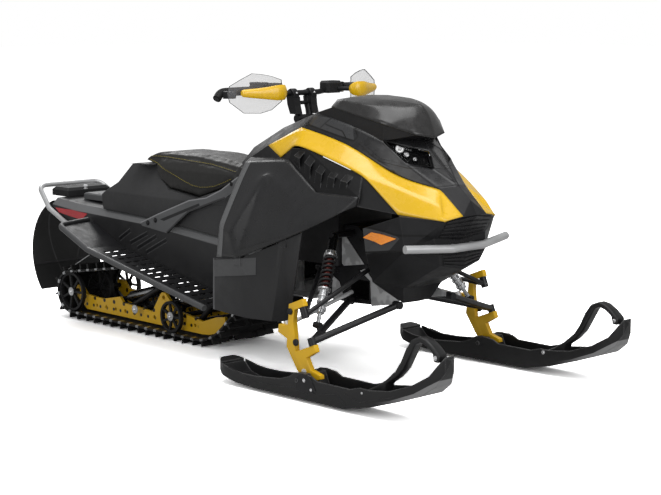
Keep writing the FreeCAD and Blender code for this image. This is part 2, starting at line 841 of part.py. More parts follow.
def make_seat():
    """Bucket seat: a padded wedge with a drooping side."""
    half, top_half = mm("seat_half_width"), mm("seat_top_half_width")
    outline = outline_of("seat_upper") + outline_of("seat_nose")
    outline += outline_of("seat_belly") + outline_of("seat_rear")
    core = side_prism(outline, -half, half)
    start, length, top = seat_span()
    droop = mm("seat_side_height")
    for side in (-1, 1):
        wedge = [
            Vector(start, side * half, top - droop * 0.55),
            Vector(start, side * top_half, top + 20),
            Vector(start, side * (half + 60), top + 20),
        ]
        cutter = Part.Face(Part.makePolygon(wedge + wedge[:1])).extrude(Vector(length, 0, 0))
        core = core.cut(cutter)
    node("seat", core)


def make_seat_base():
    """Faceted tank and storage box between the seat and the tunnel."""
    half = mm("base_half_width")
    gap = mm("seat_gap")
    rear = mm("base_rear_x")
    deck = tunnel_top_z(rear) + gap + 6
    outline = [(rear, deck), (rear - 8, deck + mm("base_lip"))] + outline_of("base_back")
    under = outline_of("seat_belly")[::-1] + outline_of("base_front")
    outline += [(x, z - gap) for x, z in under]
    front = under[-1][0]
    outline += [
        (front, tunnel_top_z(front) + gap),
        (mm("tunnel_mid_x"), mm("tunnel_mid_top") + gap),
        (rear + 5, tunnel_top_z(rear + 5) + gap),
    ]
    body = side_prism(outline, -half, half)
    start, length = rear - mm("wedge_reach"), front - rear + 2 * mm("wedge_reach")
    top = seat_span()[2]
    for side in (-1, 1):
        wedge = [
            Vector(start, side * (half + 1), deck + 75),
            Vector(start, side * (half - 62), top - 60),
            Vector(start, side * (half + 90), top - 60),
        ]
        cutter = Part.Face(Part.makePolygon(wedge + wedge[:1])).extrude(Vector(length, 0, 0))
        body = body.cut(cutter)
    node("seat_base", body)


def make_braces():
    """Pair of pressed braces from the tunnel shoulder up to the cowl."""
    inner = mm("tunnel_width") / 2 + mm("seat_gap")
    plate = side_prism(outline_of("brace"), inner, inner + mm("plate_wall") * 2)
    node("frame_braces", both(plate))


# Bodywork: faceted shells whose corners are named points of the right-hand half
point("console_rear", -70, 0, 806)
point("console_step", 0, 0, 880)
point("console_peak", 190, 0, 966)
point("cowl_top", 430, 0, 1040)
point("console_rear_side", -62, 105, 798)
point("console_step_side", 30, 120, 868)
point("console_peak_side", 232, 140, 960)
point("cowl_top_side", 458, 176, 1030)
point("console_low_rear", 20, 175, 770)
point("console_low", 140, 235, 842)
point("fairing_tail", 262, 252, 897)
point("fairing_low_tail", 343, 262, 855)
point("fairing_peak", 404, 206, 973)
point("fairing_arch", 408, 262, 899)
point("fairing_arch_front", 496, 266, 900)
point("fairing_top", 673, 198, 911)
point("fairing_low", 782, 254, 816)
point("fairing_top_front", 850, 151, 819)
point("fairing_mid_front", 917, 196, 773)
point("fairing_low_front", 944, 226, 679)
point("fairing_nose", 1014, 76, 766)
point("fairing_mid_nose", 1060, 131, 716)
point("fairing_nose_inner", 1123, 65, 675)
point("fairing_nose_outer", 1101, 144, 660)
point("hood_ridge", 640, 166, 990)
point("eye_outer", 786, 144, 938)
point("eye_low", 885, 130, 862)
point("eye_inner", 942, 38, 838)
point("eye_nose", 925, 38, 903)
point("hood_centre", 690, 0, 1002)
point("hood_brow", 862, 0, 940)
point("hood_beak", 905, 0, 902)
point("hood_tip", 1046, 0, 776)
point("nose_crown", 1100, 0, 728)
point("nose_top", 1132, 0, 676)
point("grille_top_side", 1092, 146, 655)
point("grille_low", 1055, 0, 576)
point("grille_low_side", 1050, 145, 592)
point("cheek_top", 962, 236, 674)
point("cheek_rear", 823, 288, 622)
point("cheek_low", 985, 232, 545)
point("cheek_low_rear", 812, 262, 528)
point("chin_top", 1076, 0, 528)
point("chin_top_side", 1062, 130, 528)
point("chin_low", 1069, 0, 465)
point("chin_low_side", 1052, 110, 486)
point("belly_front", 866, 0, 378)
point("belly_front_side", 862, 107, 380)
point("belly_low", 835, 0, 314)
point("belly_low_side", 833, 76, 316)
point("belly_rear", 785, 196, 405)
point("side_rear_top", 164, 284, 830)
point("side_top", 404, 276, 852)
point("side_kink", 596, 310, 742)
point("side_tip", 815, 304, 740)
point("side_tip_low", 803, 302, 704)
point("side_low_front", 752, 338, 678)
point("side_low_mid", 567, 366, 591)
point("side_low_rear", 222, 384, 458)
point("side_rear_low", 90, 378, 447)
point("side_rear", 110, 376, 585)
point("side_rear_upper", 146, 330, 730)
point("side_crease_top", 330, 322, 790)
point("side_crease_mid", 560, 352, 662)
point("side_crease_low", 190, 392, 560)
point("lower_rear_top", 62, 372, 440)
point("lower_rear", 58, 372, 231)
point("lower_mid_top", 228, 380, 452)
point("lower_mid_low", 262, 378, 222)
point("lower_front_top", 470, 362, 548)
point("lower_front", 380, 346, 220)
point("lower_nose_top", 552, 344, 590)
point("lower_nose", 436, 304, 222)
size("cowl_core_rear_x", 150)
size("cowl_core_front_x", 860)
size("cowl_core_z", 620)
size("vent_ribs", 5)
size("vent_rib_width", 34)
size("vent_rib_bulge", 16)
size("vent_rib_first_x", 470)
size("vent_rib_pitch", 66)
size("vent_rib_lean", 14)
size("vent_rib_inset", 10)
size("eye_depth", 26)
size("louvre_reach", 0.86)
size("louvre_lift", 5)
size("nose_louvres", 5)
size("chin_louvres", 4)
size("lens_radius", 13)
point("lens", 846, 98, 906)
point("screen_tail", 545, 181, 1058)
point("screen_low", 800, 158, 1003)
point("screen_low_front", 897, 80, 963)
point("screen_low_centre", 920, 0, 948)
point("screen_shoulder", 556, 158, 1086)
point("screen_side", 745, 122, 1066)
point("screen_brow", 852, 60, 1044)
point("screen_centre", 886, 0, 1030)
point("screen_top_rear", 580, 100, 1094)
point("screen_top_mid", 700, 76, 1090)
point("screen_top_front", 800, 36, 1080)
point("screen_crown", 845, 0, 1072)
point("screen_roof_rear", 560, 0, 1097)
point("screen_roof", 710, 0, 1092)
size("screen_wall", 4)
size("screen_core_z", 940)
size("screen_core_rear_x", 600)
size("screen_core_front_x", 800)
size("trim_core_z", 1200)
size("trim_core_rear_x", 500)
size("trim_core_front_x", 760)
size("trim_inset", 5.2)
point("bumper_bar_end", 1034, 283, 563)
point("bumper_bar_bend", 1092, 85, 553)
size("bumper_bar_radius", 15.5)
size("bumper_bar_turn", 36)
point("marker_rear", 818, 274, 587)
point("marker_front", 950, 256, 591)
point("marker_top", 853, 272, 609)
point("marker_low", 885, 268, 563)

# Power unit and front frame
size("engine_length", 290)
size("engine_width", 300)
size("engine_height", 330)
size("engine_x", 408)
size("engine_low", 436.3)
size("engine_foot_radius", 18)
size("tray_rear_x", 130)
size("tray_front_x", 455)
size("tray_half_width", track_width / 2 + 16)
size("tray_low", 300)
size("bulkhead_pivot_inset", 18)
size("engine_clearance", 17)
size("bulkhead_wall", 16)
size("bulkhead_toe_half_width", 62)
size("frame_plate_wall", 1.8)
size("bulkhead_nose_x", 800)
size("bulkhead_shoulder_x", 640)
size("bulkhead_top", 600)
size("bulkhead_nose_top", 480)
profile("bulkhead_keel", [(600, 296), (740, 303), (772, 334), (800, 372)])
profile("bulkhead_toe", [(780, 320), (822, 330), (848, 386), (800, 470), (780, 470)])
profile("upper_plate", [(560, 573), (678, 455), (568, 438), (557, 446), (557, 560)])
profile("lower_plate", [(656, 428), (683, 438), (740, 384), (862, 336), (862, 322), (718, 296), (712, 394)])
profile("rear_plate", [(505, 392), (541, 372), (568, 306), (500, 304)])
size("rod_window_length", 100)
size("rod_window_height", 76)

doc.recompute()


def inward(corner, wall, core_z, rear_x, front_x):
    """The corner moved inward by the wall towards the core line of the cowl."""
    x = min(max(corner.x, rear_x), front_x)
    way = Vector(x, 0, core_z) - corner
    return corner + way.normalize() * wall


def shell(faces, wall, core_z=None, rear_x=None, front_x=None):
    """A solid sheet with flat facets; each facet is three or four outer corners."""
    core_z = mm("cowl_core_z") if core_z is None else core_z
    rear_x = mm("cowl_core_rear_x") if rear_x is None else rear_x
    front_x = mm("cowl_core_front_x") if front_x is None else front_x
    triangles = []
    for corners in faces:
        for index in range(1, len(corners) - 1):
            triangles.append((corners[0], corners[index], corners[index + 1]))
    skins = []
    rims = {}
    for triangle in triangles:
        outer = list(triangle)
        inner = [inward(corner, wall, core_z, rear_x, front_x) for corner in outer]
        skins.append(Part.Face(Part.makePolygon(outer + outer[:1])))
        skins.append(Part.Face(Part.makePolygon(inner + inner[:1])))
        for first, last in ((0, 1), (1, 2), (2, 0)):
            key = frozenset((tuple(outer[first]), tuple(outer[last])))
            rims.setdefault(key, []).append((outer[first], outer[last], inner[last], inner[first]))
    for quads in rims.values():
        if len(quads) == 1:
            a, b, c, d = quads[0]
            if tuple(b) < tuple(a):
                a, b, c, d = b, a, d, c
            skins.append(Part.Face(Part.makePolygon([a, b, c, a])))
            skins.append(Part.Face(Part.makePolygon([a, c, d, a])))
    solid = Part.Solid(Part.Shell(skins))
    if solid.Volume < 0:
        solid.reverse()
    return solid


def mirror_faces(faces):
    """The facets with their mirror images, for a panel that spans the middle."""
    halves = []
    for corners in faces:
        for index in range(1, len(corners) - 1):
            triangle = [corners[0], corners[index], corners[index + 1]]
            halves.append(triangle)
            halves.append([Vector(p.x, -p.y, p.z) for p in triangle[::-1]])
    return halves


def named(*names):
    """The right-hand corners of these names."""
    return [at(name) for name in names]


def steering_axis():
    """Base point and upward direction of the steering post."""
    lean = math.radians(mm("post_lean"))
    return Vector(mm("post_x"), 0, mm("post_z")), Vector(-math.sin(lean), 0, math.cos(lean))


def make_console():
    """Dark plastic round the steering post, from the seat up to the hood."""
    faces = [
        named("console_rear", "console_rear_side", "console_step_side", "console_step"),
        named("console_step", "console_step_side", "console_peak_side", "console_peak"),
        named("console_peak", "console_peak_side", "cowl_top_side", "cowl_top"),
        named("console_rear_side", "console_low_rear", "console_low", "console_step_side"),
        named("console_step_side", "console_low", "fairing_tail", "console_peak_side"),
        named("console_peak_side", "fairing_tail", "fairing_peak", "cowl_top_side"),
        named("console_low", "side_rear_top", "fairing_low_tail", "fairing_tail"),
        named("side_rear_top", "side_top", "fairing_low_tail"),
    ]
    solid = shell(mirror_faces(faces), mm("panel_wall"))
    base, axis = steering_axis()
    foot = base - axis * mm("post_length") * 2
    hole = Part.makeCylinder(mm("bearing_radius") + mm("seat_gap"), 2 * mm("post_length"), foot, axis)
    node("console", solid.cut(hole))


def make_over_frame():
    """Tubes from the tunnel up to the bearing of the steering post."""
    base, axis = steering_axis()
    crown = base - axis * 24
    low = crown - axis * mm("bearing_length")
    bearing = rod(low, crown, mm("bearing_radius"))
    radius = mm("tube_radius")
    middle = low + axis * radius
    foot_x = mm("tunnel_front_x") - 30
    foot_z = tunnel_top_z(foot_x - 20) + mm("seat_gap")
    parts = []
    for side in (-1, 1):
        foot = Vector(foot_x, side * mm("over_frame_foot_y"), foot_z)
        parts.append(Part.makeBox(40, 40, 6, foot - Vector(20, 20, 0)))
        parts.append(rod(foot + Vector(0, 0, 3), middle, radius))
    frame = bearing.multiFuse(parts)
    bore = rod(low - axis * 60, crown + axis, mm("post_radius") + mm("running_gap"))
    node("over_frame", frame.cut(bore))


def fairing_faces():
    """Facets of the bright side band from its tail to the nose."""
    return [
        named("fairing_tail", "fairing_low_tail", "fairing_arch", "fairing_peak"),
        named("fairing_peak", "fairing_arch", "fairing_arch_front"),
        named("fairing_peak", "fairing_arch_front", "fairing_low", "fairing_top"),
        named("fairing_top", "fairing_low", "fairing_mid_front", "fairing_top_front"),
        named("fairing_low", "fairing_low_front", "fairing_mid_front"),
        named("fairing_top_front", "fairing_mid_front", "fairing_mid_nose", "fairing_nose"),
        named("fairing_mid_front", "fairing_low_front", "fairing_nose_outer", "fairing_mid_nose"),
        named("fairing_nose", "fairing_mid_nose", "fairing_nose_outer", "fairing_nose_inner"),
    ]


def make_fairings():
    """The bright side bands."""
    solid = shell(fairing_faces(), mm("panel_wall"))
    node("fairing_right", solid)
    node("fairing_left", mirrored(solid))


def make_hood():
    """Dark hood between the bands, open at the two lamp sockets."""
    faces = [
        named("cowl_top", "cowl_top_side", "hood_ridge", "hood_centre"),
        named("hood_centre", "hood_ridge", "eye_outer", "hood_brow"),
        named("cowl_top_side", "fairing_peak", "fairing_top", "hood_ridge"),
        named("hood_ridge", "fairing_top", "fairing_top_front", "eye_outer"),
        named("eye_outer", "fairing_top_front", "eye_low"),
        named("eye_low", "fairing_top_front", "fairing_nose", "eye_inner"),
        named("eye_inner", "fairing_nose", "hood_tip"),
        named("eye_nose", "eye_inner", "hood_tip", "hood_beak"),
        named("hood_brow", "eye_outer", "eye_nose", "hood_beak"),
    ]
    solid = shell(mirror_faces(faces), mm("panel_wall"))
    node("hood", solid)
    return solid


def make_lamps(hood):
    """Black sockets behind the hood openings and a round lens in each."""
    rim = named("eye_outer", "eye_low", "eye_inner", "eye_nose")
    middle = (rim[0] + rim[1] + rim[2] + rim[3]) / 4
    across = (rim[2] - rim[0]).normalize()
    normal = (rim[2] - rim[0]).cross(rim[3] - rim[1]).normalize()
    if normal.x < 0:
        normal = normal * -1
    flat = [p - normal * (p - middle).dot(normal) for p in rim]
    depth, wall, gap = mm("eye_depth"), mm("panel_wall"), mm("seat_gap")

    def column(share, start, length):
        corners = [middle + (p - middle) * share - normal * start for p in flat]
        return Part.Face(Part.makePolygon(corners + corners[:1])).extrude(normal * -length)

    socket = column(1.0, 2, depth + wall - 2).cut(column(0.9, 0, depth))
    shifted = hood.copy()
    shifted.translate(normal * -gap)
    socket = socket.cut(hood).cut(shifted)
    socket = max(socket.Solids, key=lambda solid: solid.Volume)
    node("lamp_sockets", both(socket))
    seat = middle - normal * (depth - gap)
    lens = Part.makeCylinder(mm("lens_radius"), 10, seat - across * 22, normal)
    second = Part.makeCylinder(mm("lens_radius") * 0.8, 10, seat + across * 14, normal)
    node("headlamps", Part.makeCompound([lens, second, mirrored(lens), mirrored(second)]))


def louvres(names, count):
    """Raised bars across the middle between a pair of upper and a pair of lower corners."""
    top, top_side, low, low_side = named(*names)
    lift = mm("louvre_lift")
    bars = []
    for index in range(count):
        edges = []
        for share in ((index + 0.25) / count, (index + 0.75) / count):
            middle = top + (low - top) * share
            side = top_side + (low_side - top_side) * share
            reach = middle + (side - middle) * mm("louvre_reach")
            edges.append((middle + Vector(lift, 0, 0), reach + Vector(lift, 0, 0)))
        (high, high_side), (deep, deep_side) = edges
        bars.append(shell(mirror_faces([[high, high_side, deep_side, deep]]), lift + mm("panel_wall") / 2))
    return bars


def make_nose():
    """Dark nose: centre panel, upper grille and cheeks below the bands."""
    faces = [
        named("hood_tip", "fairing_nose", "fairing_nose_inner", "nose_crown"),
        named("nose_crown", "fairing_nose_inner", "nose_top"),
        named("nose_top", "fairing_nose_inner", "fairing_nose_outer", "grille_top_side"),
        named("nose_top", "grille_top_side", "grille_low_side", "grille_low"),
        named("fairing_nose_outer", "fairing_low_front", "cheek_top", "grille_top_side"),
        named("grille_top_side", "cheek_top", "cheek_low", "grille_low_side"),
        named("cheek_top", "cheek_rear", "cheek_low_rear", "cheek_low"),
        named("grille_low_side", "cheek_low", "chin_top_side"),
        named("grille_low", "grille_low_side", "chin_top_side", "chin_top"),
    ]
    solid = shell(mirror_faces(faces), mm("panel_wall"))
    bars = louvres(("nose_top", "grille_top_side", "grille_low", "grille_low_side"), int(mm("nose_louvres")))
    node("nose", solid.multiFuse(bars))
    return solid


def make_belly_pan():
    """Black belly pan with the lower intake."""
    faces = [
        named("chin_top", "chin_top_side", "chin_low_side", "chin_low"),
        named("chin_low", "chin_low_side", "belly_front_side", "belly_front"),
        named("belly_front", "belly_front_side", "belly_low_side", "belly_low"),
        named("chin_top_side", "cheek_low", "chin_low_side"),
        named("cheek_low", "cheek_low_rear", "belly_rear"),
        named("cheek_low", "belly_rear", "belly_front_side", "chin_low_side"),
        named("belly_front_side", "belly_rear", "belly_low_side"),
    ]
    solid = shell(mirror_faces(faces), mm("panel_wall"))
    bars = louvres(("chin_top", "chin_top_side", "chin_low", "chin_low_side"), int(mm("chin_louvres")))
    node("belly_pan", solid.multiFuse(bars))
    return solid


def make_side_panels():
    """Large dark side panels, the lower panels and the dark ribs above them."""
    faces = [
        named("side_rear_top", "side_rear_upper", "side_crease_top", "side_top"),
        named("side_top", "side_crease_top", "side_crease_mid", "side_kink"),
        named("side_kink", "side_crease_mid", "side_low_front", "side_tip"),
        named("side_tip", "side_low_front", "side_tip_low"),
        named("side_rear_upper", "side_rear", "side_crease_low", "side_crease_top"),
        named("side_rear", "side_rear_low", "side_low_rear", "side_crease_low"),
        named("side_crease_top", "side_crease_low", "side_low_rear", "side_crease_mid"),
        named("side_crease_mid", "side_low_rear", "side_low_mid", "side_low_front"),
    ]
    upper = shell(faces, mm("panel_wall"))
    node("side_panel_right", upper)
    node("side_panel_left", mirrored(upper))
    faces = [
        named("lower_rear_top", "lower_rear", "lower_mid_low", "lower_mid_top"),
        named("lower_mid_top", "lower_mid_low", "lower_front", "lower_front_top"),
        named("lower_front_top", "lower_front", "lower_nose", "lower_nose_top"),
    ]
    solid = shell(faces, mm("panel_wall"), mm("cowl_core_z") / 2)
    shifted = upper.copy()
    shifted.translate(Vector(0, mm("seat_gap"), 0))
    clips = []
    for name in ("lower_mid_top", "lower_front_top"):
        corner = at(name)
        clip = Part.makeBox(40, 24, 44, corner - Vector(30, 2, 26))
        clip = clip.cut(upper).cut(shifted)
        clips.append(max(clip.Solids, key=lambda part: part.BoundBox.YMax))
    solid = solid.multiFuse(clips)
    node("lower_panel_right", solid)
    node("lower_panel_left", mirrored(solid))


def make_side_vents():
    """Dark backing with raised curved ribs between band and side panel."""
    gap = mm("seat_gap")
    core_z, rear_x, front_x = mm("cowl_core_z"), mm("cowl_core_rear_x"), mm("cowl_core_front_x")
    wall = mm("panel_wall")

    def deep(name):
        return inward(at(name), wall + gap, core_z, rear_x, front_x)

    faces = [
        [deep("fairing_low_tail"), deep("side_top"), deep("fairing_arch")],
        [deep("fairing_arch"), deep("side_top"), deep("side_kink"), deep("fairing_arch_front")],
        [deep("fairing_arch_front"), deep("side_kink"), deep("side_tip"), deep("fairing_low")],
        [deep("fairing_low"), deep("side_tip"), deep("side_tip_low"), deep("fairing_low_front")],
    ]
    upper = [at("fairing_arch"), at("fairing_arch_front"), at("fairing_low"), at("fairing_low_front")]
    lower = [at("side_top"), at("side_kink"), at("side_tip")]

    def edge_point(line, x):
        """The point of a broken line at x."""
        for first, last in zip(line, line[1:]):
            if x <= last.x:
                break
        return first + (last - first) * ((x - first.x) / (last.x - first.x))

    half = mm("vent_rib_width") / 2
    ribs = []
    for index in range(int(mm("vent_ribs"))):
        x = mm("vent_rib_first_x") + index * mm("vent_rib_pitch")
        columns = []
        for shift in (-half, half):
            high = edge_point(upper, x + shift)
            low = edge_point(lower, x + shift - mm("vent_rib_lean"))
            run = (low - high).normalize()
            high = inward(high + run * mm("vent_rib_inset"), wall + 1, core_z, rear_x, front_x)
            low = inward(low - run * mm("vent_rib_inset"), wall + 1, core_z, rear_x, front_x)
            middle = (high + low) / 2 + Vector(0, -mm("vent_rib_bulge"), mm("vent_rib_bulge") / 2)
            columns.append((high, middle, low))
        (a, b, c), (d, e, f) = columns
        ribs.append(shell([[a, d, e, b], [b, e, f, c]], wall))
    node("side_vents", both(shell(faces, wall).multiFuse(ribs)))


def make_windscreen():
    """Low dark deflector with the dark trim that closes the gap to the hood."""
    faces = [
        named("screen_tail", "screen_low", "screen_side", "screen_shoulder"),
        named("screen_low", "screen_low_front", "screen_brow", "screen_side"),
        named("screen_low_front", "screen_low_centre", "screen_centre", "screen_brow"),
        named("screen_shoulder", "screen_side", "screen_top_mid", "screen_top_rear"),
        named("screen_side", "screen_brow", "screen_top_front", "screen_top_mid"),
        named("screen_brow", "screen_centre", "screen_crown", "screen_top_front"),
        named("screen_top_rear", "screen_top_mid", "screen_roof", "screen_roof_rear"),
        named("screen_top_mid", "screen_top_front", "screen_crown", "screen_roof"),
    ]
    wall = mm("screen_wall")
    core_z, rear_x, front_x = mm("screen_core_z"), mm("screen_core_rear_x"), mm("screen_core_front_x")
    node("windscreen", shell(mirror_faces(faces), wall, core_z, rear_x, front_x))
    gap = mm("seat_gap")
    rise = Vector(0, 0, gap)

    def inset(name):
        corner = at(name)
        return inward(corner, mm("trim_inset"), core_z, rear_x, front_x)

    upper = [inset(name) for name in ("screen_tail", "screen_low", "screen_low_front", "screen_low_centre")]
    lower = [corner + rise for corner in named("cowl_top_side", "hood_ridge", "eye_outer", "hood_brow")]
    faces = [[upper[k], lower[k], lower[k + 1], upper[k + 1]] for k in range(3)]
    core_z, rear_x, front_x = mm("trim_core_z"), mm("trim_core_rear_x"), mm("trim_core_front_x")
    node("windscreen_trim", shell(mirror_faces(faces), wall / 2, core_z, rear_x, front_x))


def make_front_bumper(nose, belly):
    """Silver bar across the nose on two stubs."""
    end, bend = at("bumper_bar_end", 1), at("bumper_bar_bend", 1)
    points = [end, bend, Vector(bend.x, -bend.y, bend.z), Vector(end.x, -end.y, end.z)]
    bar = tube(points, mm("bumper_bar_radius"), mm("bumper_bar_turn"))
    skins = []
    for skin in (nose, belly):
        moved = skin.copy()
        moved.translate(Vector(mm("seat_gap"), 0, 0))
        skins.append(moved)
    stubs = []
    for y in (-bend.y * 0.6, bend.y * 0.6):
        stub = rod(Vector(bend.x, y, bend.z), Vector(bend.x - 45, y, bend.z), mm("bumper_bar_radius") * 0.8)
        for skin in skins:
            stub = stub.cut(skin)
        stub = max(stub.Solids, key=lambda solid: solid.BoundBox.XMax)
        stubs.append(stub)
    node("front_bumper", bar.multiFuse(stubs))


def make_markers(nose):
    """Orange side markers."""
    corners = named("marker_rear", "marker_low", "marker_front", "marker_top")
    outline = [(corner.x, corner.z) for corner in corners]
    reach = mm("marker_rear_y")
    column = side_prism(outline, -reach - 40, -reach + 60)
    skin = nose.copy()
    skin.translate(Vector(0.35, -1, 0) * (mm("panel_wall") + mm("seat_gap")))
    node("side_markers", both(skin.common(column)))


def ribbed_sleeve(start, line, length):
    """A coil spring as a ribbed sleeve with one rib for each turn."""
    turns = int(mm("coil_turns"))
    wide = mm("coil_radius")
    narrow = wide - mm("coil_wire")
    bore = mm("shock_radius") + mm("seat_gap")
    pitch = length / turns
    outline = [Vector(bore, 0, 0)]
    for turn in range(turns):
        outline.append(Vector(narrow, 0, turn * pitch))
        outline.append(Vector(wide, 0, (turn + 0.3) * pitch))
        outline.append(Vector(wide, 0, (turn + 0.6) * pitch))
    outline.append(Vector(narrow, 0, length))
    outline.append(Vector(bore, 0, length))
    face = Part.Face(Part.makePolygon(outline + outline[:1]))
    sleeve = face.revolve(Vector(0, 0, 0), Vector(0, 0, 1), 360)
    sleeve.Placement = Placement(start, Rotation(Vector(0, 0, 1), line))
    return sleeve


def make_frame_and_engine():
    """Front frame casting, tray under the engine and the engine block."""
    half = mm("lower_arm_front_y") - mm("bulkhead_pivot_inset")
    gap = mm("seat_gap")
    wall = mm("bulkhead_wall")
    rear_x, low = mm("tray_front_x"), mm("tray_low")
    deck = mm("engine_low") - gap
    step_x = mm("engine_x") + mm("engine_length") / 2 + mm("engine_clearance")
    high = mm("bulkhead_top")
    outline = [(rear_x, low)] + outline_of("bulkhead_keel")
    outline += [(mm("bulkhead_nose_x"), mm("bulkhead_nose_top")), (mm("bulkhead_shoulder_x"), high)]
    outline += [(step_x, high), (step_x, deck), (rear_x, deck)]
    block = side_prism(outline, -half, half)
    toe_half = mm("bulkhead_toe_half_width")
    block = block.fuse(side_prism(outline_of("bulkhead_toe"), -toe_half, toe_half))
    rod_x, rod_z = mm("tie_rod_inner_x"), mm("tie_rod_inner_z")
    window = Part.makeBox(mm("rod_window_length"), 2 * half + 2, mm("rod_window_height"))
    window.translate(Vector(rod_x - 40, -half - 1, rod_z - 32))
    block = block.cut(window)
    for side in (-1, 1):
        head = at("shock_top", side)
        start = Vector(head.x, side * (half - wall), head.z)
        finish = head + Vector(0, side * mm("shock_pin_length") / 2, 0)
        block = block.fuse(rod(start, finish, mm("shock_pin_radius")))
    node("bulkhead", block)
    plates = [outline_of(place + "_plate") for place in ("upper", "lower", "rear")]
    face_y = half + gap
    sheets = [side_prism(plate, face_y, face_y + mm("frame_plate_wall")) for plate in plates]
    node("frame_plates", both(Part.makeCompound(sheets)))
    low = mm("tray_low")
    tray_half = mm("tray_half_width")
    tray_length = mm("tray_front_x") - mm("tray_rear_x") - 2 * gap
    tray = Part.makeBox(tray_length, 2 * tray_half, mm("plate_wall") * 2)
    tray.translate(Vector(mm("tray_rear_x") + gap, -tray_half, low))
    feet = []
    foot_x = mm("engine_x") - mm("engine_length") / 2 + mm("engine_foot_radius")
    for y in (-mm("engine_width") / 3, mm("engine_width") / 3):
        feet.append(rod(Vector(foot_x, y, low + 1), Vector(foot_x, y, deck), mm("engine_foot_radius")))
    node("engine_tray", tray.multiFuse(feet))
    engine = doc.addObject("Part::Box", "engine")
    engine.Label = "engine"
    engine.setExpression("Length", "sizes.engine_length")
    engine.setExpression("Width", "sizes.engine_width")
    engine.setExpression("Height", "sizes.engine_height")
    low_corner = Vector(mm("engine_x") - mm("engine_length") / 2, -mm("engine_width") / 2, mm("engine_low"))
    engine.Placement = Placement(low_corner, Rotation())


def make_suspension():
    """Upper and lower arms with their ball joints, coil-over dampers."""
    gap = mm("joint_gap")
    radius = mm("arm_radius")
    top, foot = at("kingpin_top"), at("kingpin_foot")
    up = (top - foot).normalize()
    ball, height = mm("ball_radius"), mm("ball_height")
    half_boss = mm("boss_height") / 2
    housing = rod(foot + up * (half_boss + gap), foot + up * (half_boss + gap + height), ball)
    low_end = foot + up * (half_boss + gap + height / 2)
    front, rear = at("lower_arm_front"), at("lower_arm_rear")
    shock = at("shock_foot")
    strut_front = front + (low_end - front) * 0.82
    strut_rear = rear + (low_end - rear) * 0.82
    arms = [rod(low_end, front, radius), rod(low_end, rear, radius)]
    arms.append(rod(strut_front, strut_rear, radius * 0.8))
    along_arm = low_end + (rear - low_end) * ((low_end.y - shock.y) / (low_end.y - rear.y))
    half_pin = Vector(mm("shock_pin_length") / 2, 0, 0)
    arms.append(rod(along_arm, shock, radius * 0.7))
    arms.append(rod(shock - half_pin, shock + half_pin, mm("shock_pin_radius")))
    for pivot in (front, rear):
        arms.append(rod(pivot - Vector(16, 0, 0), pivot + Vector(16, 0, 0), radius * 1.2))
    arm = housing.multiFuse(arms)
    node("lower_arms", both(arm))
    top_end = top - up * (half_boss + gap + height)
    housing = rod(top - up * (half_boss + gap + height * 1.4), top - up * (half_boss + gap), ball)
    radius = mm("upper_arm_radius")
    arms = [rod(top_end, at("upper_arm_front"), radius), rod(top_end, at("upper_arm_rear"), radius)]
    for pivot in (at("upper_arm_front"), at("upper_arm_rear")):
        arms.append(rod(pivot - Vector(22, 0, 0), pivot + Vector(22, 0, 0), radius * 1.2))
    node("upper_arms", both(housing.multiFuse(arms)))
    head = at("shock_top")
    line = (head - shock).normalize()
    eye = rod(shock, shock + line * 60, mm("shock_rod_radius"))
    barrel = rod(shock + line * 50, head, mm("shock_radius"))
    grown = mm("shock_pin_radius") + gap
    damper = eye.fuse(barrel).cut(rod(shock - half_pin, shock + half_pin, grown))
    across = Vector(0, mm("shock_pin_length"), 0)
    damper = damper.cut(rod(head - across, head + across, grown))
    node("front_dampers", both(damper))
    start = shock + line * 70
    length = (head - line * 40 - start).Length
    node("front_springs", both(ribbed_sleeve(start, line, length)))


def make_spindle(side, word):
    """Forged upright in one sheet outline with its hook, boss and foot."""
    top, foot = at("kingpin_top", 1), at("kingpin_foot", 1)
    up = (top - foot).normalize()
    across = Vector(up.z, 0, -up.x)
    half_boss = mm("boss_height") / 2

    def near(anchor, forward, rise):
        corner = anchor + across * forward + up * rise
        return corner.x, corner.z

    bolt_x, bolt_z = mm("ski_bolt_x"), mm("ski_bolt_z")
    outline = [
        near(top, 17, half_boss), near(top, -60, half_boss), *outline_of("spindle_hook"),
        (bolt_x - 59, bolt_z + 21), (bolt_x - 20, bolt_z - 14),
        (bolt_x + 18, bolt_z - 14), (bolt_x + 66, bolt_z + 4),
        (bolt_x + 64, bolt_z + 18), (bolt_x + 14, bolt_z + 32), near(foot, -42, -half_boss - 8),
        near(foot, 17, -half_boss), near(foot, 17, half_boss),
        near(foot, -72, half_boss), near(foot, -88, 16),
        *outline_of("spindle_throat"), near(top, -38, -half_boss), near(top, 17, -half_boss),
    ]
    wall = mm("spindle_wall")
    body = new_body("spindle_" + word)
    y = side * at("kingpin_top", 1).y
    bore = [(bolt_x, bolt_z, mm("ski_bolt_radius") + mm("running_gap"))]
    sketch = sketch_on(body, "XZ_Plane", "spindle_outline_" + word, [outline], -y, bore)
    pad(body, sketch, wall, "sizes.spindle_wall")


